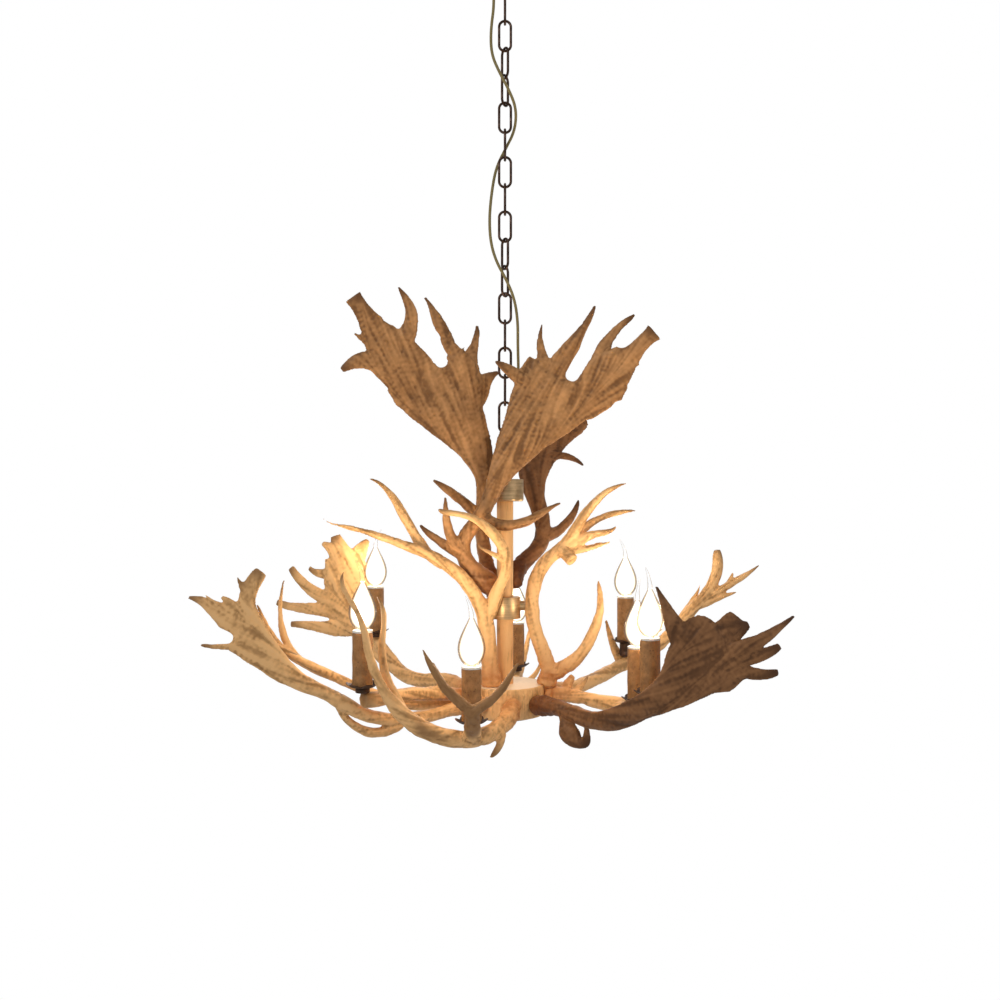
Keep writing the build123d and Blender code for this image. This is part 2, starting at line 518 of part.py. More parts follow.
def power_cord():
    radii = bend_radii(cord_route)
    path = FilletPolyline(*cord_route, radius=radii)
    start = Plane(origin=cord_route[0], z_dir=(0, 0, -1))
    tube = sweep(start * Circle(cord_diameter / 2), path=path)
    length = path.length
    section = pi * (cord_diameter / 2) ** 2
    print("cord length", round(length), "least bend", round(min(radii)),
          "volume by section", round(length * section), "of tube", round(tube.volume))
    return largest(tube)


# ---------------------------------------------------------------- column
def hanging_eye():
    stem = rod(hook_stem_radius, column_top - eye_stem_length, column_top + wire_overlap)
    across = Rot(0, 0, 90) * eye(column_eye_radius, eye_wire, column_eye_centre)
    return largest(across + stem)


def upper_collar():
    bottom = column_top - upper_collar_height
    cup = rod(upper_collar_radius, bottom, column_top)
    cup = fillet(cup.edges().group_by(Axis.Z)[0], upper_collar_wall * 2)
    inside = upper_collar_radius - upper_collar_wall
    cup -= rod(inside, bottom + upper_collar_plate + upper_collar_wall, column_top - upper_collar_plate)
    cup -= rod(hook_stem_radius + seat_gap, column_top - upper_collar_plate, column_top)
    cup -= rod(column_radius + seat_gap, bottom, bottom + upper_collar_plate + upper_collar_wall)
    cup -= rod(cord_wire_radius, column_top - upper_collar_plate, column_top, *cord_hole_collar)
    return cup


def centre_tube():
    top = column_top - upper_collar_plate
    bottom = hub_top - hub_height - hub_cover_thickness - finial_height + finial_floor + seat_gap
    tube = rod(tube_radius, bottom, top) - rod(tube_radius - tube_wall, bottom, top)
    wire_hole = Pos(tube_radius, 0, top - eye_stem_length + 1) * Rot(0, 90, 0) * Cylinder(1.5, tube_radius)
    return tube - wire_hole


def column():
    top = column_top - upper_collar_height + upper_collar_plate + upper_collar_wall + column_socket
    return rod(column_radius, hub_top, top) - rod(tube_radius + seat_gap, hub_top, top)


def collar_boss_level():
    return hub_top + lower_collar_level + collar_boss_rise


def lower_collar():
    bottom = hub_top + lower_collar_level
    collar = rod(lower_collar_radius, bottom, bottom + lower_collar_height)
    boss_length = collar_boss_reach - column_radius
    boss = (Pos(collar_boss_reach - boss_length / 2, 0, collar_boss_level()) * Rot(0, 90, 0)
            * Cylinder(collar_boss_radius, boss_length))
    collar = collar + boss
    collar -= rod(column_radius + seat_gap, bottom, bottom + lower_collar_height)
    return collar - collar_rod(collar_screw_radius + seat_gap, 0)


def collar_rod(radius, start):
    """A rod on the screw's line, from a distance off the column's axis out to the screw's end."""
    end = column_radius + collar_wall_gap + collar_screw_length
    return (Pos((start + end) / 2, 0, collar_boss_level()) * Rot(0, 90, 0)
            * Cylinder(radius, end - start))


def collar_screw():
    """The screw, from the column's side through the boss into the antler beside it."""
    return collar_rod(collar_screw_radius, column_radius + collar_wall_gap)


def hub():
    body = rod(hub_radius, hub_top - hub_height, hub_top)
    body = fillet(body.edges().filter_by(GeomType.CIRCLE), hub_edge)
    body -= rod(hub_pocket_radius, hub_top - hub_height, hub_top - hub_height + hub_pocket_depth)
    return body - rod(tube_radius + seat_gap, hub_top - hub_height, hub_top)


def hub_cover():
    bottom = hub_top - hub_height - hub_cover_thickness
    cover = rod(hub_cover_radius, bottom, bottom + hub_cover_thickness)
    cover = chamfer(cover.edges().group_by(Axis.Z)[0], hub_cover_thickness / 3)
    return cover - rod(tube_radius + seat_gap, bottom, bottom + hub_cover_thickness)


def finial_nut():
    top = hub_top - hub_height - hub_cover_thickness
    nut = rod(finial_radius, top - finial_height, top)
    nut = fillet(nut.edges().group_by(Axis.Z)[0], finial_radius / 2)
    return nut - rod(tube_radius + seat_gap, top - finial_height + finial_floor, top)


# ---------------------------------------------------------------- candle lamps
def drip_pan(x, y, bottom, base):
    """A turned-up pan on the short round base that stands on the antler."""
    pan = revolve(Plane.XZ * make_face(Polyline(
        (0, 0), (pan_radius - pan_lip, 0), (pan_radius, pan_lip),
        (pan_radius - pan_thickness, pan_lip), (pan_radius - pan_lip - pan_thickness / 2, pan_thickness),
        (0, pan_thickness), close=True)), Axis.Z)
    return Pos(x, y, bottom) * pan + rod(candle_base_radius, bottom - base, bottom, x, y)


def candle_sleeve(x, y, bottom):
    top = bottom + sleeve_height
    sleeve = rod(sleeve_radius, bottom, top, x, y)
    return sleeve - rod(sleeve_radius - sleeve_wall, bottom, top, x, y)


def lamp_holder(x, y, bottom):
    rim = bottom + sleeve_height
    top = rim + holder_rim_height
    body = rod(thread_radius + holder_wall, bottom, top, x, y)
    body += rod(sleeve_radius - holder_step, rim, top, x, y)
    body -= rod(thread_radius + seat_gap, top - thread_depth, top, x, y)
    return body


def flame_outline(inset):
    """Half outline of the bent-tip lamp's glass, from its foot to its neck."""
    foot = thread_radius - 1.0 - inset
    full = bulb_radius - inset
    neck = 3.4 - inset
    return Spline((foot, inset), (full * 0.86, bulb_height * 0.17), (full, bulb_height * 0.36),
                  (full * 0.66, bulb_height * 0.72), (neck, bulb_height))


def glass_body(inset):
    side = flame_outline(inset)
    foot, neck = side @ 0, side @ 1
    axis = Polyline((neck.X, neck.Y), (0, neck.Y), (0, foot.Y), (foot.X, foot.Y))
    return revolve(Plane.XZ * make_face([side, axis]), Axis.Z)


def bulb(x, y, bottom, lean):
    """The lamp's glass with its bent tip, the metal cap, and the stem that holds the filament."""
    seat = bottom + sleeve_height + holder_rim_height
    tip_sections = []
    for share, radius in ((-0.08, 3.3), (0.25, 2.9), (0.5, 2.2), (0.75, 1.5), (1.0, 0.7)):
        rise = bulb_height + bulb_tip_rise * share
        bend = bulb_tip_bend * max(share, 0) ** 2
        slope = 2 * bulb_tip_bend * max(share, 0) / bulb_tip_rise
        plane = Plane(origin=(bend, 0, rise), x_dir=(1, 0, -slope), z_dir=(slope, 0, 1))
        tip_sections.append((plane * Circle(radius)).face())
    glass = glass_body(0) + loft(tip_sections) - glass_body(bulb_glass)
    cap = rod(thread_radius - 0.1, seat - thread_depth + 3, seat - 0.2, x, y)
    cap += rod(thread_radius * 0.6, seat - thread_depth + 1, seat - thread_depth + 3, x, y)
    stem = rod(2.2, bulb_glass, bulb_height * 0.3) + Pos(0, 0, bulb_height * 0.3) * Sphere(2.2)
    place = Pos(x, y, seat) * Rot(0, 0, lean)
    return Compound(children=[place * largest(glass), largest(cap), place * largest(stem)])


# ---------------------------------------------------------------- antlers in place
def hub_cutter():
    """The hub with its play, as a full block that feet are cut to."""
    return rod(hub_radius + seat_gap, hub_top - hub_height, hub_top + seat_gap)


def column_cutter():
    return rod(column_radius + seat_gap, hub_top, column_top)


def lower_collar_cutter():
    bottom = hub_top + lower_collar_level
    ring = rod(lower_collar_radius + seat_gap, bottom - seat_gap, bottom + lower_collar_height + seat_gap)
    boss = (Pos(collar_boss_reach / 2, 0, collar_boss_level()) * Rot(0, 90, 0)
            * Cylinder(collar_boss_radius, collar_boss_reach))
    return ring + boss


def upper_collar_cutter():
    return rod(upper_collar_radius + seat_gap, column_top - upper_collar_height - seat_gap, column_top)


def base_cutter(candle):
    """The space above an arm for a candle's base and pan."""
    x, y, pan, base, lean = candles[candle]
    level = hub_top + pan
    return (rod(candle_base_radius + base_clearance, level - base, level, x, y)
            + rod(pan_radius + pan_clearance, level - seat_gap, level + pan_lip + pan_clearance, x, y)
            + rod(sleeve_radius + pan_clearance, level, level + sleeve_height, x, y))


to_front = (0, -1, 0)
to_top = (0, 0, 1)
upper_seats = [column_cutter, upper_collar_cutter, lower_collar_cutter]
lower_seats = [column_cutter, lower_collar_cutter, hub_cutter]
antlers = {               # limbs, the way the face looks, and what the foot is cut to
    "upper_left_palm": (stations_of_upper_left_palm, to_front, upper_seats),
    "upper_right_palm": (stations_of_upper_right_palm, to_front, upper_seats),
    "upper_back_palm": (stations_of_upper_back_palm, to_front, upper_seats),
    "mid_left_antler": (stations_of_mid_left_antler, to_front, lower_seats),
    "mid_right_antler": (stations_of_mid_right_antler, to_front, lower_seats),
    "front_antler": (stations_of_front_antler, to_top, [hub_cutter]),
    "left_front_palm": (stations_of_left_front_palm, to_front, [hub_cutter]),
    "left_rear_antler": (stations_of_left_rear_antler, to_front, [hub_cutter]),
    "back_left_palm": (stations_of_back_left_palm, to_front, [hub_cutter]),
    "left_arm_antler": (stations_of_left_arm_antler, to_top, [hub_cutter]),
    "right_front_palm": (stations_of_right_front_palm, to_front, [hub_cutter]),
    "back_right_antler": (stations_of_back_right_antler, to_top, [hub_cutter]),
    "right_arm_antler": (stations_of_right_arm_antler, to_top, [hub_cutter]),
    "back_arm_antler": (stations_of_back_arm_antler, to_top, [hub_cutter]),
}
carried = {               # the antler under each candle
    "front_left": "left_arm_antler",
    "front_centre": "front_antler",
    "right_front": "right_arm_antler",
    "right_side": "right_arm_antler",
    "back_right": "back_right_antler",
    "back_centre": "back_arm_antler",
    "back_left": "back_left_palm",
}

# ---------------------------------------------------------------- build and write
for make in (ceiling_bracket, canopy, canopy_screws, ceiling_hook, hook_nut, chain_links, power_cord,
             hanging_eye, upper_collar, centre_tube, column, lower_collar, collar_screw,
             hub, hub_cover, finial_nut):
    save(make(), make.__name__)
save(ring(top_ring_centre, 90), "top_ring")
save(ring(lamp_ring_centre, 0), "lamp_ring")

for candle, (x, y, pan, base, lean) in candles.items():
    bottom = hub_top + pan
    save(drip_pan(x, y, bottom, base), f"drip_pan_{candle}")
    save(candle_sleeve(x, y, bottom + pan_thickness), f"candle_sleeve_{candle}")
    save(lamp_holder(x, y, bottom + pan_thickness), f"lamp_holder_{candle}")
    save(bulb(x, y, bottom + pan_thickness, lean), f"bulb_{candle}")

for name, (limbs, face, seats) in antlers.items():
    cutters = [seat() for seat in seats] + [bay(ends) for ends in bays.get(name, [])]
    cutters += [base_cutter(candle) for candle, arm in carried.items() if arm == name]
    if name == "mid_right_antler":
        cutters.append(collar_rod(collar_screw_radius + seat_gap, column_radius))
    save(antler(limbs, face, cutters), name)
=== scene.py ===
"""Antler chandelier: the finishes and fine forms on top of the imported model."""

import heapq
import json
import math

import bpy
import numpy as np
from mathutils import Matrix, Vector, kdtree

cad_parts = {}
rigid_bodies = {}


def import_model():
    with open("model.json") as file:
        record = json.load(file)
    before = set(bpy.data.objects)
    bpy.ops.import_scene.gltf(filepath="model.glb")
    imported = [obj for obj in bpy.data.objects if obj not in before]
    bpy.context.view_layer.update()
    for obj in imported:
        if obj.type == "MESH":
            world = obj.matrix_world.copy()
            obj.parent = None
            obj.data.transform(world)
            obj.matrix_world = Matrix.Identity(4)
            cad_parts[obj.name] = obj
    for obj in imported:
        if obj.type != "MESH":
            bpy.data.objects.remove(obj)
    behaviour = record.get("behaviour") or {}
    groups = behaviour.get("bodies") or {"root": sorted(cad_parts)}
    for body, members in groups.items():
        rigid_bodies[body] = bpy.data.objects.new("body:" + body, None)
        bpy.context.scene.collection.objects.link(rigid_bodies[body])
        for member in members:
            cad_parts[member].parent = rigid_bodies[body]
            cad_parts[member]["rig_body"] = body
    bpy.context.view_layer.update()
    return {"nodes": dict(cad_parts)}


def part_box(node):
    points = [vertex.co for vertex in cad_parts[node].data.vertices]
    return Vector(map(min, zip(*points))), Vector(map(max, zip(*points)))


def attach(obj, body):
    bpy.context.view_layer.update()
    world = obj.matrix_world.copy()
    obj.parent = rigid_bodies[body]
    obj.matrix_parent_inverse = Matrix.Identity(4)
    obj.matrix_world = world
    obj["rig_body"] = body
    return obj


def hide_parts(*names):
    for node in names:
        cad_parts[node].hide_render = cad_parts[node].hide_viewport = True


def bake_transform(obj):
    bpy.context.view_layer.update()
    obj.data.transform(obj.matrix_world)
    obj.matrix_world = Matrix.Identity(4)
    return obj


bl_info = {
    "name": "Antler chandelier",
    "version": (1, 0, 0),
    "blender": (4, 5, 0),
    "location": "View3D > Sidebar > Chandelier",
    "description": "Dresses the chandelier's antlers, candle lamps, chain, column and cord",
    "category": "Object",
}

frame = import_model()

MM = 0.001
NOISE_CELLS = 61          # the noise repeats after this many patches
STREAK_STEPS = 18
SLEEVE_SIDES = 96
SLEEVE_CUTS = 40          # level cuts up a sleeve's side
PAN_RINGS = 9
PAN_MIDDLE = 2 * MM       # radius of the flat middle that a pan is drawn out from
WIRE_RISE = 27 * MM       # glowing wire and its light, above the holder's rim
LIGHT_RISE = 30 * MM
HUB_SKIN = 1.2 * MM
CORD_SIDES = 14
CANDLES = ("front_left", "front_centre", "right_front", "right_side", "back_right",
           "back_centre", "back_left")
STANDING_ANTLERS = ("mid_left_antler", "mid_right_antler")
# Each antler's tone is painted light and shade: the pale ones, nearest the lamps, are painted as lit by
# them, and the dark ones are painted as in shade.
ANTLER_LIGHT_AND_SHADE_TONES = {
    "upper_left_palm": "brown", "upper_right_palm": "brown", "upper_back_palm": "dark",
    "mid_left_antler": "tan", "mid_right_antler": "tan", "front_antler": "tan",
    "left_front_palm": "tan", "left_rear_antler": "tan", "back_left_palm": "tan",
    "left_arm_antler": "tan", "right_front_palm": "dark", "back_right_antler": "tan",
    "right_arm_antler": "tan", "back_arm_antler": "tan",
}
# Fuller roots of tines: middle, half sizes and turn about Y.
SWELLINGS = {"upper_left_palm": (((-.0795, .0115, -.5865), (.0095, .0038, .027), -.44),)}
# The cord's route, top to bottom, in metres: in the canopy, round the links, to the collar.
CORD_ROUTE = (
    (-.020, 0, -.022), (-.020, 0, -.047), (-.017, -.004, -.082), (-.015, -.007, -.116),
    (-.020, -.006, -.152), (-.019, -.010, -.186), (-.008, -.017, -.214), (.006, -.018, -.240),
    (.016, -.008, -.262), (.014, .009, -.286), (0, .018, -.310), (-.013, .013, -.338),
    (-.019, .004, -.376), (-.022, -.004, -.414), (-.020, -.008, -.448), (-.012, -.015, -.476),
    (.001, -.019, -.500), (.013, -.013, -.526), (.018, -.003, -.556), (.018, .004, -.590),
    (.019, .006, -.626), (.018, .006, -.662), (.017, .009, -.698), (.010, .014, -.728),
    (.002, .017, -.753), (0, .017, -.7766),
)
# Where the front antler's fork, painted darker as shade, starts: forward of the axis, and right of the
# long tines.
SHADED_FORK_FORWARD = (.176, .188)
SHADED_FORK_SIDE = (-.115, -.1)
# Each light's place, size and power in watts; all face the middle of the chandelier.
LIGHTS = {
    "key": ((-1.5, -2.0, 0.7), 1.2, 17.0),
    "fill": ((1.9, -1.6, -0.6), 1.4, 3.0),
    "rim": ((0.3, 2.2, 0.3), 1.6, 16.0),
}
LIT_MIDDLE = Vector((0, 0, -0.8))


# ------------------------------------------------------------------ sizes and colours
class AntlerSettings(bpy.types.PropertyGroup):
    """Surface of the resin antlers."""
    skin: bpy.props.FloatProperty(name="Skin", description="Size of the surface's facets",
                                  default=1.5 * MM, unit="LENGTH")
    groove: bpy.props.FloatProperty(name="Groove depth", description="Depth of the long grooves",
                                    default=0.75 * MM, unit="LENGTH")
    grain: bpy.props.FloatProperty(name="Grain width", description="Width of a long groove",
                                   default=3.8 * MM, unit="LENGTH")
    swell: bpy.props.FloatProperty(name="Swell", description="Height of the slow unevenness",
                                   default=0.7 * MM, unit="LENGTH")
    pearl: bpy.props.FloatProperty(name="Pearling", description="Height of the beads near the burr",
                                   default=1.3 * MM, unit="LENGTH")
    burr: bpy.props.FloatProperty(name="Burr", description="Height of the ring round the foot",
                                  default=2.2 * MM, unit="LENGTH")
    # These three tones paint light and shade onto whole antlers: tan as lit by the lamps, brown as lit
    # by the room, dark as in shade.
    tan: bpy.props.FloatVectorProperty(name="Tan", description="Colour of the pale antlers",
                                       subtype="COLOR", default=(0.88, 0.5, 0.205))
    brown: bpy.props.FloatVectorProperty(name="Brown", description="Colour of the brown antlers",
                                         subtype="COLOR", default=(0.44, 0.21, 0.076))
    dark: bpy.props.FloatVectorProperty(name="Dark", description="Colour of the darkest antler",
                                        subtype="COLOR", default=(0.25, 0.11, 0.04))


class CandleSettings(bpy.types.PropertyGroup):
    """The candle lamps."""
    sleeve: bpy.props.FloatVectorProperty(name="Sleeve", description="Colour of the sleeves",
                                          subtype="COLOR", default=(0.4, 0.19, 0.062))
    pan: bpy.props.FloatVectorProperty(name="Pan", description="Colour of the pans",
                                       subtype="COLOR", default=(0.09, 0.05, 0.03))
    glow: bpy.props.FloatVectorProperty(name="Glow", description="Colour of the light",
                                        subtype="COLOR", default=(1.0, 0.82, 0.58))
    power: bpy.props.FloatProperty(name="Power", description="Light of one lamp, in watts", default=2.8)
    petals: bpy.props.IntProperty(name="Petals", description="Petals round a pan", default=6)
    petal_height: bpy.props.FloatProperty(name="Petal height", description="Rise of a petal's tip",
                                          default=5.0 * MM, unit="LENGTH")


class MetalSettings(bpy.types.PropertyGroup):
    """Chain, collars and ceiling pieces."""
    bronze: bpy.props.FloatVectorProperty(name="Bronze", description="Colour of the chain",
                                          subtype="COLOR", default=(0.075, 0.042, 0.028))
    gold: bpy.props.FloatVectorProperty(name="Gold", description="Colour of the collars",
                                        subtype="COLOR", default=(0.56, 0.38, 0.2))
    steel: bpy.props.FloatVectorProperty(name="Steel", description="Colour of the tube and bracket",
                                         subtype="COLOR", default=(0.5, 0.49, 0.47))
    cord: bpy.props.FloatVectorProperty(name="Cord", description="Colour of the cord",
                                        subtype="COLOR", default=(0.37, 0.29, 0.11))
    cord_radius: bpy.props.FloatProperty(name="Cord radius", description="Half of the cord's thickness",
                                         default=2.0 * MM, unit="LENGTH")
    edge: bpy.props.FloatProperty(name="Edge", description="Rounding of turned edges",
                                  default=0.4 * MM, unit="LENGTH")


class StageSettings(bpy.types.PropertyGroup):
    """Camera, floor and lights."""
    distance: bpy.props.FloatProperty(name="Distance", description="Camera to the lamp's axis",
                                      default=1.45, unit="LENGTH")
    height: bpy.props.FloatProperty(name="Height", description="Camera below the ceiling",
                                    default=-0.799, unit="LENGTH")
    lens: bpy.props.FloatProperty(name="Lens", description="Focal length in millimetres", default=37.3)
    shift: bpy.props.FloatProperty(name="Shift", description="Sideways and upward shift of the picture",
                                   default=-0.005)
    floor: bpy.props.FloatProperty(name="Floor", description="Floor below the ceiling",
                                   default=-2.4, unit="LENGTH")
    floor_radius: bpy.props.FloatProperty(name="Floor radius", description="Reach of the floor",
                                          default=1.0, unit="LENGTH")
    ambient: bpy.props.FloatProperty(name="Ambient", description="Light from all round", default=0.4)
    pale: bpy.props.FloatVectorProperty(name="Pale", description="Colour of the floor and room",
                                        subtype="COLOR", default=(1.0, 1.0, 1.0))


# ------------------------------------------------------------------ small tools
def select_only(piece):
    bpy.ops.object.select_all(action="DESELECT")
    piece.select_set(True)
    bpy.context.view_layer.objects.active = piece


def apply_modifiers(piece):
    select_only(piece)
    for modifier in list(piece.modifiers):
        bpy.ops.object.modifier_apply(modifier=modifier.name)


def settle():
    """Takes the selected piece's place, turn and scale into its mesh."""
    bpy.ops.object.transform_apply(location=True, rotation=True, scale=True)


def edit_all():
    """Opens the active piece for editing, all of it selected."""
    bpy.ops.object.mode_set(mode="EDIT")
    bpy.ops.mesh.select_all(action="SELECT")


def leave_edit():
    bpy.ops.object.mode_set(mode="OBJECT")


def smooth_all(mesh):
    mesh.polygons.foreach_set("use_smooth", np.ones(len(mesh.polygons), bool))
    mesh.update()


def copy_of(node_name, piece_name):
    """A copy of a CAD node's mesh, its doubles merged, to be finished in the node's place."""
    mesh = frame["nodes"][node_name].data.copy()
    mesh.materials.clear()
    piece = bpy.data.objects.new(piece_name, mesh)
    bpy.context.scene.collection.objects.link(piece)
    select_only(piece)
    edit_all()
    bpy.ops.mesh.remove_doubles(threshold=0.01 * MM)
    leave_edit()
    return piece


def seat(piece, node_name, material):
    """The piece gets its material, rides on the node's body and stands for the node."""
    piece.data.materials.clear()
    piece.data.materials.append(material)
    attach(piece, frame["nodes"][node_name]["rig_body"])
    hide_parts(node_name)


def turned_copy(node_name, material, edge):
    """A turned or bent metal piece: smooth round faces, broken edges."""
    piece = copy_of(node_name, node_name + "_finish")
    if edge > 0:
        edit_all()
        bpy.ops.mesh.dissolve_limited(angle_limit=math.radians(0.5))
        leave_edit()
        bevel = piece.modifiers.new("edge", "BEVEL")
        bevel.width = edge
        bevel.segments = 2
        bevel.limit_method = "ANGLE"
        bevel.angle_limit = math.radians(40)
        apply_modifiers(piece)
    select_only(piece)
    bpy.ops.object.shade_smooth_by_angle(angle=math.radians(35))
    seat(piece, node_name, material)
    return piece


def vertex_places(mesh):
    places = np.empty(len(mesh.vertices) * 3)
    mesh.vertices.foreach_get("co", places)
    return places.reshape(-1, 3)


def vertex_normals(mesh):
    normals = np.empty(len(mesh.vertices) * 3)
    mesh.vertices.foreach_get("normal", normals)
    return normals.reshape(-1, 3)


def store(mesh, name, values):
    """Keeps one number for each vertex, for a material to read."""
    layer = mesh.attributes.new(name, "FLOAT", "POINT")
    layer.data.foreach_set("value", np.asarray(values, np.float32))


def soft_step(values, low, high):
    share = np.clip((values - low) / (high - low), 0, 1)
    return share * share * (3 - 2 * share)


# ------------------------------------------------------------------ material tools
class Finish:
    """A material's node tree, with short ways to add what the finishes here share."""

    def __init__(self, name):
        self.material = bpy.data.materials.new(name)
        self.material.use_nodes = True
        self.nodes = self.material.node_tree.nodes
        self.links = self.material.node_tree.links
        self.shader = self.nodes["Principled BSDF"]

    def add(self, kind, inputs=None, **values):
        """A new node with its settings, its sockets linked or set as inputs says."""
        node = self.nodes.new(kind)
        for name, value in values.items():
            setattr(node, name, value)
        for name, value in (inputs or {}).items():
            self.put(value, node.inputs[name])
        return node

    def put(self, value, socket):
        """Links an output, or sets a plain value."""
        if isinstance(value, bpy.types.NodeSocket):
            self.links.new(value, socket)
        else:
            socket.default_value = value

    def place(self):
        return self.add("ShaderNodeTexCoord").outputs["Object"]

    def stretched(self, x, y, z):
        inputs = {"Vector": self.place(), "Scale": (x, y, z)}
        return self.add("ShaderNodeMapping", inputs).outputs["Vector"]

    def noise(self, size, detail=4.0, roughness=0.55, vector=None):
        """Cloudy noise, its patches about size metres across."""
        inputs = {"Vector": vector or self.place(), "Scale": 1 / size, "Detail": detail,
                  "Roughness": roughness}
        return self.add("ShaderNodeTexNoise", inputs).outputs["Fac"]

    def spots(self, size):
        inputs = {"Vector": self.place(), "Scale": 1 / size}
        return self.add("ShaderNodeTexVoronoi", inputs).outputs["Distance"]

    def kept(self, name):
        return self.add("ShaderNodeAttribute", attribute_name=name).outputs["Fac"]

    def math(self, operation, first, second=0.0):
        return self.add("ShaderNodeMath", {0: first, 1: second}, operation=operation).outputs[0]

    def ramp(self, value, *stops):
        node = self.add("ShaderNodeValToRGB", {"Fac": value})
        elements = node.color_ramp.elements
        while len(elements) < len(stops):
            elements.new(0.5)
        for element, (position, colour) in zip(elements, stops):
            element.position = position
            element.color = (*colour, 1.0)
        return node.outputs["Color"]

    def grey(self, value, low, high, dark=0.0, light=1.0):
        """A number from dark to light as the value goes from low to high."""
        inputs = {"Value": value, "From Min": low, "From Max": high, "To Min": dark, "To Max": light}
        return self.add("ShaderNodeMapRange", inputs).outputs["Result"]

    def blend(self, share, first, second):
        node = self.add("ShaderNodeMix", {"Factor": share}, data_type="RGBA")
        colours = [socket for socket in node.inputs if socket.type == "RGBA"]
        for colour, socket in zip((first, second), colours):
            self.put(colour if isinstance(colour, bpy.types.NodeSocket) else (*colour, 1.0), socket)
        return next(socket for socket in node.outputs if socket.type == "RGBA")

    def relief(self, height, depth, strength=1.0):
        inputs = {"Height": height, "Distance": depth, "Strength": strength}
        node = self.add("ShaderNodeBump", inputs)
        self.links.new(node.outputs["Normal"], self.shader.inputs["Normal"])

    def surface(self, colour, roughness, metallic=0.0):
        self.put(colour, self.shader.inputs["Base Color"])
        self.put(roughness, self.shader.inputs["Roughness"])
        self.shader.inputs["Metallic"].default_value = metallic
        return self.material


def tinted(colour, factor):
    """The colour made darker and warmer, or paler and creamier."""
    toned = [channel * factor ** power for channel, power in zip(colour, (1.0, 1.12, 1.3))]
    return tuple(channel * min(1.0, 0.95 / max(toned)) for channel in toned)


def antler_finish(tone, colour):
    """Cast resin toned like antler: long grain, dark grooves, reddish burr, darker tips, and painted
    shade where the front antler forks.
    """
    finish = Finish("antler_" + tone)
    grain = finish.kept("grain")
    cloud = finish.noise(0.045, 3.0)
    mottle = finish.noise(0.012, 5.0, 0.65)
    mixed = finish.math("ADD", finish.math("MULTIPLY", grain, 0.42),
                        finish.math("ADD", finish.math("MULTIPLY", cloud, 0.42),
                                    finish.math("MULTIPLY", mottle, 0.22)))
    body = finish.ramp(mixed, (0.28, tinted(colour, 0.5)), (0.45, tinted(colour, 0.85)),
                       (0.6, tinted(colour, 1.15)), (0.8, tinted(colour, 1.6)))
    furrow = finish.math("MULTIPLY", finish.kept("groove"), 0.5)
    body = finish.blend(furrow, body, tinted(colour, 0.36))
    burr = finish.math("MULTIPLY", finish.kept("burr"), finish.grey(mottle, 0.3, 0.7, 0.45, 1.0))
    body = finish.blend(burr, body, (colour[0] * 0.62, colour[1] * 0.4, colour[2] * 0.3))
    # Darker tips, and the painted shade on the front antler's fork, both from the tip mask.
    tip = finish.math("MULTIPLY", finish.kept("tip"), 0.85)
    body = finish.blend(tip, body, (colour[0] * 0.3, colour[1] * 0.25, colour[2] * 0.22))
    worn = finish.math("MULTIPLY", finish.kept("crest"), finish.grey(mottle, 0.35, 0.7, 0.0, 0.7))
    body = finish.blend(worn, body, tinted(colour, 1.9))
    fine = finish.math("ADD", finish.noise(0.0022, 3.0), finish.math("MULTIPLY", grain, 0.6))
    finish.relief(fine, 0.3 * MM, 0.45)
    finish.shader.inputs["Specular IOR Level"].default_value = 0.3
    return finish.surface(body, finish.grey(mottle, 0.3, 0.7, 0.42, 0.62))


# ------------------------------------------------------------------ antlers
def joined_vertices(mesh):
    """For each vertex, those joined to it by an edge or across a quad, as one flat list."""
    edges = np.empty(len(mesh.edges) * 2, int)
    mesh.edges.foreach_get("vertices", edges)
    corners = np.empty(len(mesh.loops), int)
    mesh.loops.foreach_get("vertex_index", corners)
    starts = np.empty(len(mesh.polygons), int)
    totals = np.empty(len(mesh.polygons), int)
    mesh.polygons.foreach_get("loop_start", starts)
    mesh.polygons.foreach_get("loop_total", totals)
    quads = starts[totals == 4]
    pairs = np.concatenate([edges.reshape(-1, 2),
                            np.stack([corners[quads], corners[quads + 2]], 1),
                            np.stack([corners[quads + 1], corners[quads + 3]], 1)])
    pairs = np.concatenate([pairs, pairs[:, ::-1]])
    pairs = pairs[np.argsort(pairs[:, 0], kind="stable")]
    first = np.searchsorted(pairs[:, 0], np.arange(len(mesh.vertices) + 1))
    return pairs, first


def reach_from(sources, pairs, first, lengths):
    """The way over the surface from the sources to each vertex."""
    reach = [math.inf] * (len(first) - 1)
    others, first, lengths = pairs[:, 1].tolist(), first.tolist(), lengths.tolist()
    heap = [(0.0, int(v)) for v in sources]
    for _, v in heap:
        reach[v] = 0.0
    while heap:
        so_far, v = heapq.heappop(heap)
        if so_far > reach[v]:
            continue
        for k in range(first[v], first[v + 1]):
            further = so_far + lengths[k]
            if further < reach[others[k]]:
                reach[others[k]] = further
                heapq.heappush(heap, (further, others[k]))
    result = np.array(reach)
    result[np.isinf(result)] = result[np.isfinite(result)].max()
    return result


def tips_of(places, reach, radius):
    """The vertices furthest from the foot among all those around them."""
    tree = kdtree.KDTree(len(places))
    for number, place in enumerate(places):
        tree.insert(place, number)
    tree.balance()
    tips = []
    taken = np.zeros(len(places), bool)
    for v in np.argsort(-reach, kind="stable").tolist():
        if taken[v]:
            continue
        near = [found[1] for found in tree.find_range(places[v], radius)]
        taken[near] = True
        if reach[near].max() <= reach[v]:
            tips.append(v)
    return tips


def evened(values, pairs, rounds):
    """The values averaged with their neighbours', several times."""
    count = np.bincount(pairs[:, 0], minlength=len(values))
    for _ in range(rounds):
        sums = np.bincount(pairs[:, 0], weights=values[pairs[:, 1]], minlength=len(values))
        values = 0.5 * values + 0.5 * sums / np.maximum(count, 1)
    return values


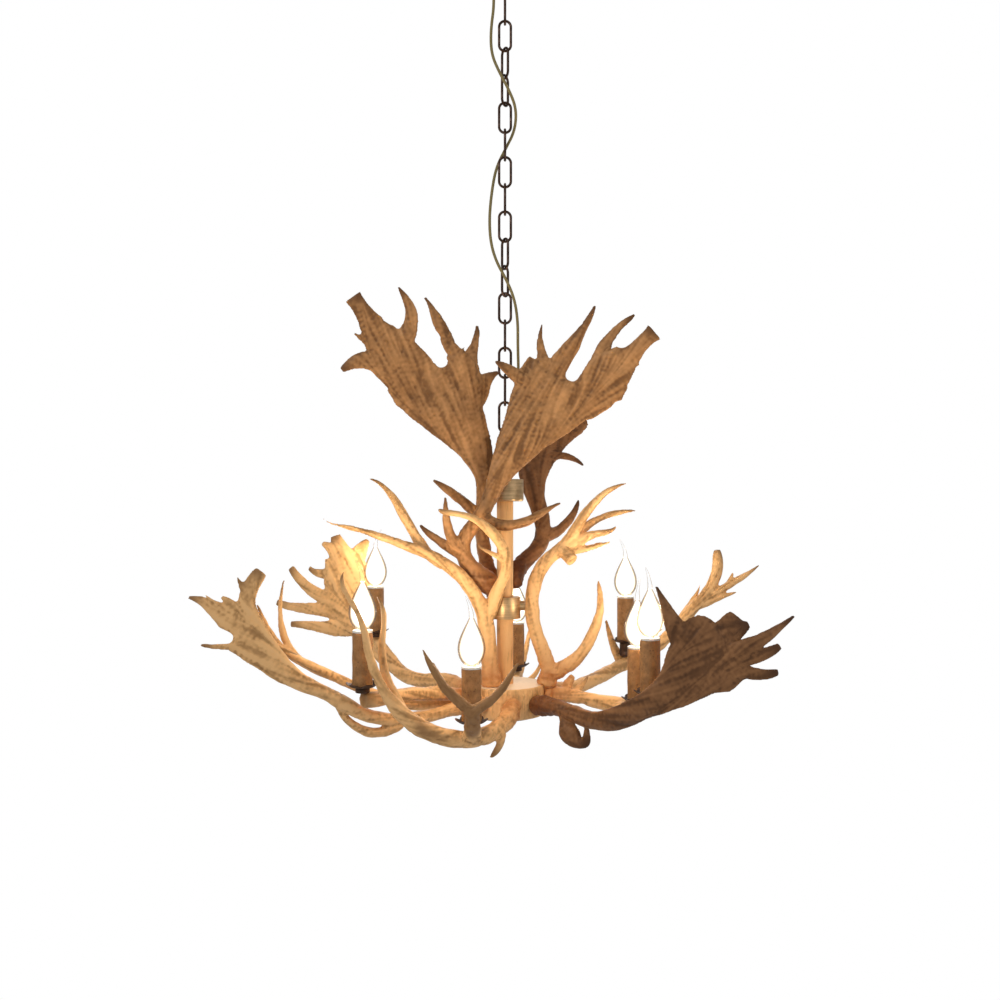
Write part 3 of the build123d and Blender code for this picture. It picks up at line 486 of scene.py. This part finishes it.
def noise_at(places, octaves, seed):
    """Soft noise from -1 to 1 at each place, its patches one unit across, with finer layers."""
    total = np.zeros(len(places))
    for octave in range(octaves):
        dice = np.random.default_rng(1000 * seed + octave)
        table = dice.uniform(-1, 1, (NOISE_CELLS, NOISE_CELLS, NOISE_CELLS))
        spread = places * 2.0 ** octave
        cell = np.floor(spread).astype(int)
        share = spread - cell
        share = share * share * (3 - 2 * share)
        for corner in np.ndindex(2, 2, 2):
            x, y, z = ((cell + corner) % NOISE_CELLS).T
            weight = np.prod(np.where(corner, share, 1 - share), axis=1)
            total += table[x, y, z] * weight * 0.6 ** octave
    return np.clip(1.25 * total, -1, 1)


def growth_direction(places, normals, reach, pairs, lengths):
    """For each vertex, the way along the surface in which the antler grows."""
    step = places[pairs[:, 1]] - places[pairs[:, 0]]
    rise = (reach[pairs[:, 1]] - reach[pairs[:, 0]]) / lengths ** 2
    ways = [evened(np.bincount(pairs[:, 0], weights=rise * step[:, axis], minlength=len(places)),
                   pairs, 12) for axis in range(3)]
    way = np.stack(ways, 1)
    way -= normals * np.einsum("ij,ij->i", way, normals)[:, None]
    return way / (np.linalg.norm(way, axis=1)[:, None] + 1e-12)


def bending(places, way, pairs, lengths):
    """How much the growth turns for each metre along itself."""
    starts, ends = pairs.T
    ahead = np.einsum("ij,ij->i", places[ends] - places[starts], way[starts]) / lengths
    weight = np.bincount(starts, weights=ahead ** 2, minlength=len(places)) + 1e-9
    change = (way[ends] - way[starts]) * (ahead / lengths)[:, None]
    turns = [evened(np.bincount(starts, weights=change[:, axis], minlength=len(places)) / weight,
                    pairs, 16) for axis in range(3)]
    return np.clip(np.stack(turns, 1), -20, 20)


def streaks_at(places, way, turn, width, length, seed):
    """Noise drawn out along the growth into streaks, from about -1 to 1."""
    total = np.zeros(len(places))
    uneven = np.random.default_rng(seed).uniform(0, 1, STREAK_STEPS)
    steps = ((np.arange(STREAK_STEPS) + uneven) / STREAK_STEPS - 0.5) * length
    for step in steps:
        total += noise_at((places + way * step + turn * (step * step / 2)) / width, 1, seed)
    return np.clip(total / (total.std() * 2.2), -1, 1)


def thicken(piece, middle, size, turn):
    """Adds a long rounded swelling to the piece, to be taken into its skin."""
    bpy.ops.object.select_all(action="DESELECT")
    bpy.ops.mesh.primitive_uv_sphere_add(segments=24, ring_count=16, radius=1, location=middle,
                                         rotation=(0, turn, 0), scale=size)
    settle()
    piece.select_set(True)
    bpy.context.view_layer.objects.active = piece
    bpy.ops.object.join()


def grow_antler(node_name, number, settings, materials):
    """The antler's solid, skinned evenly, then grooved, pearled and given its burr."""
    piece = copy_of(node_name, node_name + "_finish")
    for middle, size, turn in SWELLINGS.get(node_name, ()):
        thicken(piece, middle, size, turn)
    skin = piece.modifiers.new("skin", "REMESH")
    skin.mode = "VOXEL"
    skin.voxel_size = settings.skin
    soften = piece.modifiers.new("soften", "SMOOTH")
    soften.factor = 0.5
    soften.iterations = 10
    apply_modifiers(piece)
    mesh = piece.data
    places = vertex_places(mesh)
    normals = vertex_normals(mesh)
    pairs, first = joined_vertices(mesh)
    lengths = np.linalg.norm(places[pairs[:, 0]] - places[pairs[:, 1]], axis=1) + 1e-9
    if node_name in STANDING_ANTLERS:
        level = places[:, 2]
        feet = np.nonzero(level < level.min() + 3 * MM)[0]
    else:
        away = np.hypot(places[:, 0], places[:, 1])
        feet = np.nonzero(away < away.min() + 2.5 * MM)[0]
    reach = evened(reach_from(feet, pairs, first, lengths), pairs, 6)
    way = growth_direction(places, normals, reach, pairs, lengths)
    tips = tips_of(places, reach, 14 * MM)
    to_tip = reach_from(tips, pairs, first, lengths)

    turn = bending(places, way, pairs, lengths)
    grain = streaks_at(places, way, turn, settings.grain, 60 * MM, number)
    fine = streaks_at(places, way, turn, settings.grain * 0.65, 40 * MM, number + 40)
    fine = evened(fine, pairs, 1)
    lumps = noise_at(places / (16 * MM), 2, number + 80)
    beads = noise_at(places / (4.2 * MM), 2, number + 120)
    polish = soft_step(to_tip, 4 * MM, 45 * MM)
    valley = soft_step(grain, 0.15, 0.75) * (0.25 + 0.75 * polish)
    scratch = soft_step(fine, 0.2, 0.8) * (0.15 + 0.85 * polish)
    foot = 1 - soft_step(reach, 12 * MM, 75 * MM)
    ring = np.exp(-((reach - 13 * MM) / (4.5 * MM)) ** 2)
    ring_beads = 0.6 + 0.8 * np.clip(noise_at(places / (5.5 * MM), 1, number + 160), -0.5, 1)
    height = (settings.swell * lumps * (0.3 + 0.7 * polish)
              - settings.groove * valley - 0.4 * settings.groove * scratch
              + settings.pearl * np.clip(beads, 0, 1) * foot
              + settings.burr * ring * ring_beads)
    # the foot stays flat where it meets what carries it
    height = np.where(reach < 3 * MM, 0, height)
    mesh.vertices.foreach_set("co", (places + normals * height[:, None]).ravel())
    mesh.update()
    store(mesh, "grain", 0.5 - 0.5 * np.clip(0.8 * grain + 0.5 * fine, -1, 1))
    store(mesh, "groove", np.clip(valley * 0.8 + scratch * 0.45, 0, 1))
    store(mesh, "burr", np.clip(foot * 0.75 + ring * 0.5, 0, 1))
    # Tips are stained darker; on the front antler this mask also takes the fork's painted shade.
    tip_stain_and_fork_shade = 1 - soft_step(to_tip, 2 * MM, 26 * MM)
    if node_name == "front_antler":       # painted shade: its fork, on the side away from the lamps, is painted darker than its beam
        fork_shade = soft_step(-places[:, 1], *SHADED_FORK_FORWARD) * soft_step(places[:, 0], *SHADED_FORK_SIDE)
        tip_stain_and_fork_shade = np.maximum(tip_stain_and_fork_shade, fork_shade)
    store(mesh, "tip", tip_stain_and_fork_shade)
    bend = np.einsum("ij,ij->i", normals, places - np.stack(
        [evened(places[:, axis], pairs, 4) for axis in range(3)], 1))
    store(mesh, "crest", soft_step(bend, 0.25 * MM, 0.9 * MM))
    smooth_all(mesh)
    seat(piece, node_name, materials[ANTLER_LIGHT_AND_SHADE_TONES[node_name]])


class CHANDELIER_OT_antlers(bpy.types.Operator):
    """Grow the fourteen antlers' grooved skins"""
    bl_idname = "chandelier.antlers"
    bl_label = "Antlers"

    def execute(self, context):
        settings = context.scene.chandelier_antlers
        # One material for each tone of painted light and shade.
        materials = {tone: antler_finish(tone, tuple(getattr(settings, tone)))
                     for tone in ("tan", "brown", "dark")}
        for number, node_name in enumerate(ANTLER_LIGHT_AND_SHADE_TONES):
            grow_antler(node_name, number, settings, materials)
        return {"FINISHED"}


# ------------------------------------------------------------------ candle lamps
def sleeve_finish(colour):
    """Brown cast sleeve, mottled and pitted with dark dots."""
    finish = Finish("sleeve")
    mottle = finish.noise(0.010, 5.0, 0.65)
    dots = finish.spots(0.0042)
    body = finish.ramp(mottle, (0.25, tinted(colour, 0.6)), (0.5, colour), (0.75, tinted(colour, 1.45)))
    pit = finish.grey(dots, 0.12, 0.3, 0.75, 0.0)
    pit = finish.math("MULTIPLY", pit, finish.grey(finish.noise(0.006, 2.0), 0.45, 0.6))
    body = finish.blend(pit, body, tinted(colour, 0.3))
    grain = finish.noise(0.004, 3.0, 0.6, finish.stretched(1, 1, 0.22))
    finish.relief(finish.math("SUBTRACT", grain, finish.math("MULTIPLY", pit, 1.3)), 0.5 * MM, 0.7)
    return finish.surface(body, finish.grey(mottle, 0.3, 0.7, 0.5, 0.7))


def make_sleeve(candle, material):
    """The sleeve with a rolled top rim and an uneven, hand-cast side."""
    low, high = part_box("candle_sleeve_" + candle)
    middle = (low + high) / 2
    radius = (high.x - low.x) / 2
    bpy.ops.object.select_all(action="DESELECT")
    bpy.ops.mesh.primitive_cylinder_add(vertices=SLEEVE_SIDES, radius=radius - 0.25 * MM,
                                        depth=high.z - low.z, end_fill_type="NOTHING", location=middle)
    piece = bpy.context.object
    piece.name = f"candle_sleeve_{candle}_finish"
    settle()
    bpy.ops.object.mode_set(mode="EDIT")
    bpy.ops.mesh.select_mode(type="EDGE")
    bpy.ops.mesh.select_all(action="DESELECT")
    leave_edit()
    points = piece.data.vertices
    for edge in piece.data.edges:
        first, last = edge.vertices
        edge.select = abs(points[first].co.z - points[last].co.z) > 1 * MM
    bpy.ops.object.mode_set(mode="EDIT")
    bpy.ops.mesh.subdivide(number_cuts=SLEEVE_CUTS)
    bpy.ops.mesh.select_mode(type="VERT")
    leave_edit()
    places = vertex_places(piece.data)
    outward = places - np.array([middle.x, middle.y, 0])
    outward[:, 2] = 0
    outward /= np.linalg.norm(outward, axis=1)[:, None]
    lumps = noise_at(places / (9 * MM) * np.array([1, 1, 0.35]), 2, 3)
    rim = np.exp(-((high.z - places[:, 2]) / (1.6 * MM)) ** 2)
    push = 0.35 * MM * np.clip(lumps, -1, 1) - 0.5 * MM * rim
    piece.data.vertices.foreach_set("co", (places + outward * push[:, None]).ravel())
    wall = piece.modifiers.new("wall", "SOLIDIFY")
    wall.thickness = 1.2 * MM
    wall.offset = -1
    edge = piece.modifiers.new("edge", "BEVEL")
    edge.width = 0.35 * MM
    edge.segments = 2
    edge.limit_method = "ANGLE"
    edge.angle_limit = math.radians(50)
    apply_modifiers(piece)
    bpy.ops.object.shade_smooth_by_angle(angle=math.radians(40))
    seat(piece, "candle_sleeve_" + candle, material)


def pan_finish(colour):
    """Thin dark metal, brushed through to bronze in cloudy patches."""
    finish = Finish("pan")
    cloud = finish.noise(0.008, 4.0)
    body = finish.ramp(cloud, (0.3, tinted(colour, 0.6)), (0.55, colour), (0.75, tinted(colour, 2.6)))
    finish.relief(finish.noise(0.003, 3.0), 0.25 * MM, 0.5)
    return finish.surface(body, finish.grey(cloud, 0.3, 0.7, 0.35, 0.55), 0.75)


def make_pan(candle, settings, material):
    """A thin dish whose rim turns up in petals, on its short round base."""
    low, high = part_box("drip_pan_" + candle)
    radius = (high.x - low.x) / 2
    centre = Vector(((low.x + high.x) / 2, (low.y + high.y) / 2, high.z - 3.0 * MM))
    bpy.ops.object.select_all(action="DESELECT")
    bpy.ops.mesh.primitive_circle_add(vertices=72, radius=PAN_MIDDLE, fill_type="NGON", location=centre)
    piece = bpy.context.object
    piece.name = f"drip_pan_{candle}_finish"
    settle()
    edit_all()
    bpy.ops.mesh.select_mode(type="EDGE")
    bpy.ops.mesh.region_to_loop()
    before = PAN_MIDDLE
    for ring in range(PAN_RINGS):
        width = PAN_MIDDLE + (radius - PAN_MIDDLE) * (ring + 1) / PAN_RINGS
        bpy.ops.mesh.extrude_edges_move()
        factor = width / before
        bpy.ops.transform.resize(value=(factor, factor, 1), center_override=tuple(centre))
        before = width
    leave_edit()
    places = vertex_places(piece.data)
    flat = places - np.array(centre)
    away = np.hypot(flat[:, 0], flat[:, 1])
    angle = np.arctan2(flat[:, 1], flat[:, 0])
    share = soft_step(away, radius * 0.62, radius)
    petal = np.abs(np.cos(angle * settings.petals / 2))
    shrink = 1 - share * 0.2 * (1 - petal ** 0.6)
    places[:, :2] = np.array(centre)[:2] + flat[:, :2] * shrink[:, None]
    places[:, 2] += share ** 1.5 * (0.35 + 0.65 * petal) * settings.petal_height + 1.1 * MM
    piece.data.vertices.foreach_set("co", places.ravel())
    select_only(piece)
    edit_all()
    bpy.ops.mesh.normals_make_consistent(inside=False)
    leave_edit()
    wall = piece.modifiers.new("wall", "SOLIDIFY")
    wall.thickness = 0.8 * MM
    wall.offset = -1
    apply_modifiers(piece)
    base_top = centre.z + 0.2 * MM
    bpy.ops.object.select_all(action="DESELECT")
    bpy.ops.mesh.primitive_cylinder_add(vertices=40, radius=9 * MM, depth=base_top - low.z,
                                        location=(centre.x, centre.y, (base_top + low.z) / 2))
    base = bpy.context.object
    settle()
    edit_all()
    bpy.ops.mesh.bevel(offset=0.9 * MM, segments=2)
    leave_edit()
    base.select_set(True)
    piece.select_set(True)
    bpy.context.view_layer.objects.active = piece
    bpy.ops.object.join()
    select_only(piece)
    bpy.ops.object.shade_smooth_by_angle(angle=math.radians(40))
    seat(piece, "drip_pan_" + candle, material)


def holder_finish():
    """White glazed holder, a little warm and dusty."""
    finish = Finish("holder")
    cloud = finish.noise(0.005, 3.0)
    body = finish.ramp(cloud, (0.3, (0.78, 0.74, 0.66)), (0.6, (0.92, 0.9, 0.85)))
    finish.relief(cloud, 0.1 * MM, 0.3)
    return finish.surface(body, finish.grey(cloud, 0.3, 0.7, 0.18, 0.35))


def glass_finish(glow):
    """Clear lamp glass, white with light round its filament and clear at its bent tip."""
    finish = Finish("lamp_glass")
    lit = finish.kept("lit")
    facing = finish.add("ShaderNodeLayerWeight", {"Blend": 0.35}).outputs["Facing"]
    tint = finish.ramp(facing, (0.22, (1.0, 1.0, 1.0)), (0.42, (0.95, 0.9, 0.83)),
                       (0.8, (0.84, 0.74, 0.62)))
    clear = finish.add("ShaderNodeBsdfTransparent", {"Color": tint}).outputs["BSDF"]
    gloss = finish.add("ShaderNodeBsdfGlossy", {"Roughness": 0.04}).outputs["BSDF"]
    edge = finish.add("ShaderNodeFresnel", {"IOR": 1.5}).outputs["Fac"]
    edge = finish.math("MULTIPLY", edge, 0.4)
    pane = finish.add("ShaderNodeMixShader", {0: edge, 1: clear, 2: gloss}).outputs["Shader"]
    light = finish.add("ShaderNodeEmission", {
        "Color": finish.ramp(facing, (0.08, (1.0, 0.96, 0.88)), (0.4, glow)),
        "Strength": finish.grey(facing, 0.12, 0.4, 3.0, 1.1)}).outputs["Emission"]
    share = finish.math("MULTIPLY", lit, finish.grey(facing, 0.2, 0.46, 1.0, 0.0))
    share = finish.math("MULTIPLY", share, finish.grey(finish.noise(0.009, 2.0), 0.3, 0.7, 0.8, 1.0))
    mixed = finish.add("ShaderNodeMixShader", {0: share, 1: pane, 2: light}).outputs["Shader"]
    finish.put(mixed, finish.nodes["Material Output"].inputs["Surface"])
    finish.nodes.remove(finish.shader)
    return finish.material


def filament_finish(glow):
    """The glowing wire."""
    finish = Finish("filament")
    finish.shader.inputs["Emission Strength"].default_value = 30.0
    heat = finish.ramp(finish.noise(0.004, 1.0), (0.2, tinted(glow, 0.9)), (0.8, (1.0, 0.95, 0.85)))
    finish.put(heat, finish.shader.inputs["Emission Color"])
    return finish.surface(heat, 0.5)


def make_lamp(candle, settings, glass, filament, cap_metal):
    """The glass flame, its cap and stem, and the hairpin of glowing wire on the stem."""
    piece = copy_of("bulb_" + candle, f"bulb_{candle}_finish")
    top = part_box("bulb_" + candle)[1].z
    holder_low, holder_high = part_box("lamp_holder_" + candle)
    rim = holder_high.z
    bpy.ops.object.shade_smooth_by_angle(angle=math.radians(60))
    places = vertex_places(piece.data)
    rise = (places[:, 2] - rim) / (top - rim)
    store(piece.data, "lit", (1 - soft_step(rise, 0.25, 0.78)) * 0.92 * soft_step(rise, -0.02, 0.04))
    seat(piece, "bulb_" + candle, glass)
    piece.data.materials.append(cap_metal)
    for face in piece.data.polygons:
        if face.center.z < rim - 0.05 * MM:
            face.material_index = 1
    x = (holder_low.x + holder_high.x) / 2
    y = (holder_low.y + holder_high.y) / 2
    bpy.ops.object.select_all(action="DESELECT")
    bpy.ops.mesh.primitive_torus_add(major_segments=24, minor_segments=6, major_radius=3.2 * MM,
                                     minor_radius=0.35 * MM, location=(x, y, rim + WIRE_RISE),
                                     rotation=(math.pi / 2, 0, 0.6))
    wire = bpy.context.object
    settle()
    edit_all()
    bpy.ops.transform.resize(value=(1, 1, 2.2), center_override=(x, y, rim + WIRE_RISE))
    leave_edit()
    wire.name = f"filament_{candle}"
    bpy.ops.object.shade_smooth()
    wire.data.materials.append(filament)
    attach(wire, frame["nodes"]["bulb_" + candle]["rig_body"])
    lamp = bpy.data.objects.new(f"light_{candle}", bpy.data.lights.new(f"light_{candle}", "POINT"))
    bpy.context.scene.collection.objects.link(lamp)
    lamp.location = (x, y, rim + LIGHT_RISE)
    lamp.data.energy = settings.power
    lamp.data.color = settings.glow
    lamp.data.shadow_soft_size = 12 * MM
    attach(lamp, frame["nodes"]["bulb_" + candle]["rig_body"])


class CHANDELIER_OT_candles(bpy.types.Operator):
    """Make the seven candle lamps"""
    bl_idname = "chandelier.candles"
    bl_label = "Candle lamps"

    def execute(self, context):
        settings = context.scene.chandelier_candles
        sleeve = sleeve_finish(tuple(settings.sleeve))
        pan = pan_finish(tuple(settings.pan))
        holder = holder_finish()
        glass = glass_finish(tuple(settings.glow))
        filament = filament_finish(tuple(settings.glow))
        cap = metal_finish("lamp_cap", (0.6, 0.55, 0.45), 0.3)
        for candle in CANDLES:
            make_pan(candle, settings, pan)
            make_sleeve(candle, sleeve)
            turned_copy("lamp_holder_" + candle, holder, 0.4 * MM)
            make_lamp(candle, settings, glass, filament, cap)
        return {"FINISHED"}


# ------------------------------------------------------------------ metal and column
def metal_finish(name, colour, roughness, wear=1.8):
    """Metal with cloudy age, brighter in cloudy worn patches, and fine scratches."""
    finish = Finish(name)
    cloud = finish.noise(0.009, 5.0, 0.6)
    body = finish.ramp(cloud, (0.28, tinted(colour, 0.55)), (0.5, colour), (0.74, tinted(colour, wear)))
    finish.relief(finish.noise(0.0016, 3.0), 0.15 * MM, 0.4)
    return finish.surface(body, finish.grey(cloud, 0.3, 0.7, roughness + 0.12, roughness - 0.06), 0.9)


def brushed_finish(name, colour):
    """Brushed gold-toned metal, its fine lines running round the axis."""
    finish = Finish(name)
    lines = finish.noise(0.0014, 3.0, 0.6, finish.stretched(0.04, 0.04, 1.0))
    cloud = finish.noise(0.012, 3.0)
    body = finish.ramp(finish.math("ADD", finish.math("MULTIPLY", lines, 0.55),
                                   finish.math("MULTIPLY", cloud, 0.45)),
                       (0.3, tinted(colour, 0.6)), (0.5, colour), (0.7, tinted(colour, 1.5)))
    finish.relief(lines, 0.2 * MM, 0.5)
    return finish.surface(body, finish.grey(cloud, 0.3, 0.7, 0.34, 0.46), 0.85)


def bark_finish(name, colour, painted_light_top=False):
    """Brown resin of the hub and column, with grain that runs up it, and painted light that makes the
    hub's top pale.
    """
    finish = Finish(name)
    grain = finish.noise(0.005, 4.0, 0.65, finish.stretched(1, 1, 0.12))
    cloud = finish.noise(0.03, 3.0)
    mixed = finish.math("ADD", finish.math("MULTIPLY", grain, 0.65), finish.math("MULTIPLY", cloud, 0.4))
    body = finish.ramp(mixed, (0.32, tinted(colour, 0.4)), (0.5, colour), (0.7, tinted(colour, 1.5)))
    if painted_light_top:
        # Painted light: the hub's top is painted pale, as if lit from above.
        body = finish.blend(finish.kept("top"), body, (0.95, 0.74, 0.5))
    finish.relief(grain, 0.7 * MM, 0.8)
    return finish.surface(body, finish.grey(cloud, 0.3, 0.7, 0.5, 0.66))


def make_hub(material):
    """The hub's side carved in upright ribs like bark, its top left smooth."""
    piece = copy_of("hub", "hub_finish")
    skin = piece.modifiers.new("skin", "REMESH")
    skin.mode = "VOXEL"
    skin.voxel_size = HUB_SKIN
    apply_modifiers(piece)
    places = vertex_places(piece.data)
    low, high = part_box("hub")
    away = np.hypot(places[:, 0], places[:, 1])
    radius = (high.x - low.x) / 2
    side = soft_step(away, radius - 4 * MM, radius - 1.0 * MM)
    angle = np.arctan2(places[:, 1], places[:, 0])
    ring = np.stack([np.cos(angle), np.sin(angle), (places[:, 2] - low.z) / (90 * MM)], 1)
    ribs = noise_at(ring * 9.0, 3, 7)
    push = -side * (0.4 + 1.3 * np.abs(ribs)) * MM
    outward = np.stack([np.cos(angle), np.sin(angle), np.zeros(len(angle))], 1)
    piece.data.vertices.foreach_set("co", (places + outward * push[:, None]).ravel())
    piece.data.update()
    # Painted light on the hub's top, fading towards its rim.
    top_light_share = soft_step(places[:, 2], high.z - 3 * MM, high.z - 0.6 * MM)
    store(piece.data, "top", 0.8 * top_light_share * (1 - soft_step(away, radius - 5 * MM, radius - 2 * MM)))
    smooth_all(piece.data)
    seat(piece, "hub", material)


class CHANDELIER_OT_metal(bpy.types.Operator):
    """Finish the chain, ceiling pieces, collars, column and hub"""
    bl_idname = "chandelier.metal"
    bl_label = "Metal, column and hub"

    def execute(self, context):
        settings = context.scene.chandelier_metal
        antlers = context.scene.chandelier_antlers
        bronze = metal_finish("bronze", tuple(settings.bronze), 0.42, 3.2)
        steel = metal_finish("steel", tuple(settings.steel), 0.35, 1.3)
        gold = brushed_finish("brushed_gold", tuple(settings.gold))
        brass = metal_finish("aged_brass", (0.42, 0.22, 0.12), 0.35)
        bark = bark_finish("bark", tuple(antlers.tan))
        for node_name in ("chain_links", "top_ring", "lamp_ring", "hanging_eye", "ceiling_hook"):
            turned_copy(node_name, bronze, 0)
        for node_name in ("canopy", "finial_nut", "hub_cover"):
            turned_copy(node_name, bronze, settings.edge)
        for node_name in ("ceiling_bracket", "hook_nut", "centre_tube"):
            turned_copy(node_name, steel, settings.edge)
        for node_name in ("upper_collar", "lower_collar"):
            turned_copy(node_name, gold, settings.edge)
        for node_name in ("canopy_screws", "collar_screw"):
            turned_copy(node_name, brass, settings.edge)
        turned_copy("column", bark, settings.edge)
        make_hub(bark_finish("hub_bark", tuple(antlers.tan), painted_light_top=True))
        return {"FINISHED"}


# ------------------------------------------------------------------ cord
def cord_finish(colour):
    """Olive-gold braided cover, read along and round the cord."""
    finish = Finish("cord_braid")
    place = finish.add("ShaderNodeUVMap", uv_map="braid").outputs["UV"]
    waves = []
    for turn in (1, -1):
        turned = finish.add("ShaderNodeMapping", {
            "Vector": place, "Rotation": (0, 0, turn * math.radians(45))}).outputs["Vector"]
        wave = finish.add("ShaderNodeTexWave", {"Vector": turned, "Scale": 2.0})
        waves.append(wave.outputs["Fac"])
    braid = finish.math("MULTIPLY", waves[0], waves[1])
    cloud = finish.noise(0.02, 3.0)
    body = finish.blend(finish.grey(braid, 0.0, 0.6), tinted(colour, 0.45), tinted(colour, 1.35))
    body = finish.blend(finish.grey(cloud, 0.35, 0.65, 0.0, 0.35), body, tinted(colour, 0.7))
    finish.relief(braid, 0.3 * MM, 0.7)
    return finish.surface(body, finish.grey(braid, 0.0, 1.0, 0.62, 0.45))


def cord_line():
    """Points along the cord's smooth line, read from a spline through its route."""
    curve = bpy.data.curves.new("cord_line", "CURVE")
    curve.dimensions = "3D"
    spline = curve.splines.new("NURBS")
    spline.points.add(len(CORD_ROUTE) - 1)
    for point, place in zip(spline.points, CORD_ROUTE):
        point.co = (*place, 1.0)
    spline.order_u = 3
    spline.use_endpoint_u = True
    spline.resolution_u = 10
    holder = bpy.data.objects.new("cord_line", curve)
    mesh = bpy.data.meshes.new_from_object(holder)
    points = [vertex.co.copy() for vertex in mesh.vertices]
    bpy.data.objects.remove(holder)
    bpy.data.curves.remove(curve)
    bpy.data.meshes.remove(mesh)
    return points


def tube_along(points, radius, sides):
    """A closed tube round the line, with its own map along and round it."""
    turns = [(points[min(i + 1, len(points) - 1)] - points[max(i - 1, 0)]).normalized()
             for i in range(len(points))]
    across = turns[0].orthogonal().normalized()
    vertices = []
    travelled = [0.0]
    for i, point in enumerate(points):
        across = (across - turns[i] * across.dot(turns[i])).normalized()
        up = turns[i].cross(across)
        for side in range(sides):
            angle = 2 * math.pi * side / sides
            vertices.append(point + (across * math.cos(angle) + up * math.sin(angle)) * radius)
        if i:
            travelled.append(travelled[-1] + (point - points[i - 1]).length)
    faces = []
    for i in range(len(points) - 1):
        for side in range(sides):
            after = (side + 1) % sides
            faces.append((i * sides + side, i * sides + after,
                          (i + 1) * sides + after, (i + 1) * sides + side))
    last = (len(points) - 1) * sides
    faces.append(tuple(range(sides - 1, -1, -1)))
    faces.append(tuple(last + side for side in range(sides)))
    mesh = bpy.data.meshes.new("power_cord_finish")
    mesh.from_pydata(vertices, [], faces)
    layer = mesh.uv_layers.new(name="braid")
    for face in mesh.polygons[:-2]:
        start = face.index % sides
        for corner, (along, around) in zip(face.loop_indices, ((0, 0), (0, 1), (1, 1), (1, 0))):
            row = face.index // sides + along
            layer.data[corner].uv = (travelled[row] / (2 * math.pi * radius) * 2,
                                     (start + around) / sides * 2)
        face.use_smooth = True
    return mesh


class CHANDELIER_OT_cord(bpy.types.Operator):
    """Make the cord beside the chain"""
    bl_idname = "chandelier.cord"
    bl_label = "Cord"

    def execute(self, context):
        settings = context.scene.chandelier_metal
        points = cord_line()
        mesh = tube_along(points, settings.cord_radius, CORD_SIDES)
        piece = bpy.data.objects.new("power_cord_finish", mesh)
        context.scene.collection.objects.link(piece)
        mesh.materials.append(cord_finish(tuple(settings.cord)))
        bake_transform(piece)
        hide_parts("power_cord")
        return {"FINISHED"}


# ------------------------------------------------------------------ stage
class CHANDELIER_OT_stage(bpy.types.Operator):
    """Set the camera, floor and lights"""
    bl_idname = "chandelier.stage"
    bl_label = "Stage"

    def execute(self, context):
        settings = context.scene.chandelier_stage
        camera = bpy.data.objects.new("camera", bpy.data.cameras.new("camera"))
        context.scene.collection.objects.link(camera)
        camera.location = (0, -settings.distance, settings.height)
        camera.rotation_euler = (math.pi / 2, 0, 0)
        camera.data.lens = settings.lens
        camera.data.sensor_width = 36
        camera.data.shift_x = settings.shift
        camera.data.shift_y = settings.shift
        camera.data.clip_start = 0.05
        context.scene.camera = camera
        context.scene.view_settings.view_transform = "Standard"

        bpy.ops.object.select_all(action="DESELECT")
        bpy.ops.mesh.primitive_circle_add(vertices=96, radius=settings.floor_radius, fill_type="NGON",
                                          location=(0, 0, settings.floor))
        floor = context.object
        floor.name = "floor"
        finish = Finish("pale_floor")
        cloud = finish.noise(0.4, 2.0)
        finish.surface(finish.ramp(cloud, (0.3, tinted(settings.pale, 0.94)), (0.7, settings.pale)), 0.8)
        floor.data.materials.append(finish.material)

        world = bpy.data.worlds.new("room")
        world.use_nodes = True
        room = world.node_tree.nodes["Background"]
        room.inputs["Color"].default_value = (*settings.pale, 1)
        seen = world.node_tree.nodes.new("ShaderNodeLightPath")
        strength = world.node_tree.nodes.new("ShaderNodeMapRange")
        strength.inputs["To Min"].default_value = settings.ambient
        strength.inputs["To Max"].default_value = 1.0
        world.node_tree.links.new(seen.outputs["Is Camera Ray"], strength.inputs["Value"])
        world.node_tree.links.new(strength.outputs["Result"], room.inputs["Strength"])
        context.scene.world = world
        for name, (place, size, power) in LIGHTS.items():
            light = bpy.data.objects.new(name, bpy.data.lights.new(name, "AREA"))
            context.scene.collection.objects.link(light)
            light.location = place
            aim = LIT_MIDDLE - Vector(place)
            light.rotation_euler = aim.to_track_quat("-Z", "Y").to_euler()
            light.data.size = size
            light.data.energy = power
        return {"FINISHED"}


class CHANDELIER_PT_sidebar(bpy.types.Panel):
    """The chandelier's steps"""
    bl_label = "Antler chandelier"
    bl_idname = "CHANDELIER_PT_sidebar"
    bl_space_type = "VIEW_3D"
    bl_region_type = "UI"
    bl_category = "Chandelier"

    def draw(self, context):
        for step in STEPS:
            self.layout.operator(step.bl_idname)


STEPS = (CHANDELIER_OT_stage, CHANDELIER_OT_cord, CHANDELIER_OT_metal, CHANDELIER_OT_candles,
         CHANDELIER_OT_antlers)
SETTINGS = {"chandelier_antlers": AntlerSettings, "chandelier_candles": CandleSettings,
            "chandelier_metal": MetalSettings, "chandelier_stage": StageSettings}


def register():
    for name, group in SETTINGS.items():
        bpy.utils.register_class(group)
        setattr(bpy.types.Scene, name, bpy.props.PointerProperty(type=group))
    for step in STEPS:
        bpy.utils.register_class(step)
    bpy.utils.register_class(CHANDELIER_PT_sidebar)


def unregister():
    bpy.utils.unregister_class(CHANDELIER_PT_sidebar)
    for step in reversed(STEPS):
        bpy.utils.unregister_class(step)
    for name, group in SETTINGS.items():
        delattr(bpy.types.Scene, name)
        bpy.utils.unregister_class(group)


def main():
    register()
    bpy.ops.chandelier.stage()
    bpy.ops.chandelier.cord()
    bpy.ops.chandelier.metal()
    bpy.ops.chandelier.candles()
    bpy.ops.chandelier.antlers()


if __name__ == "__main__":
    main()
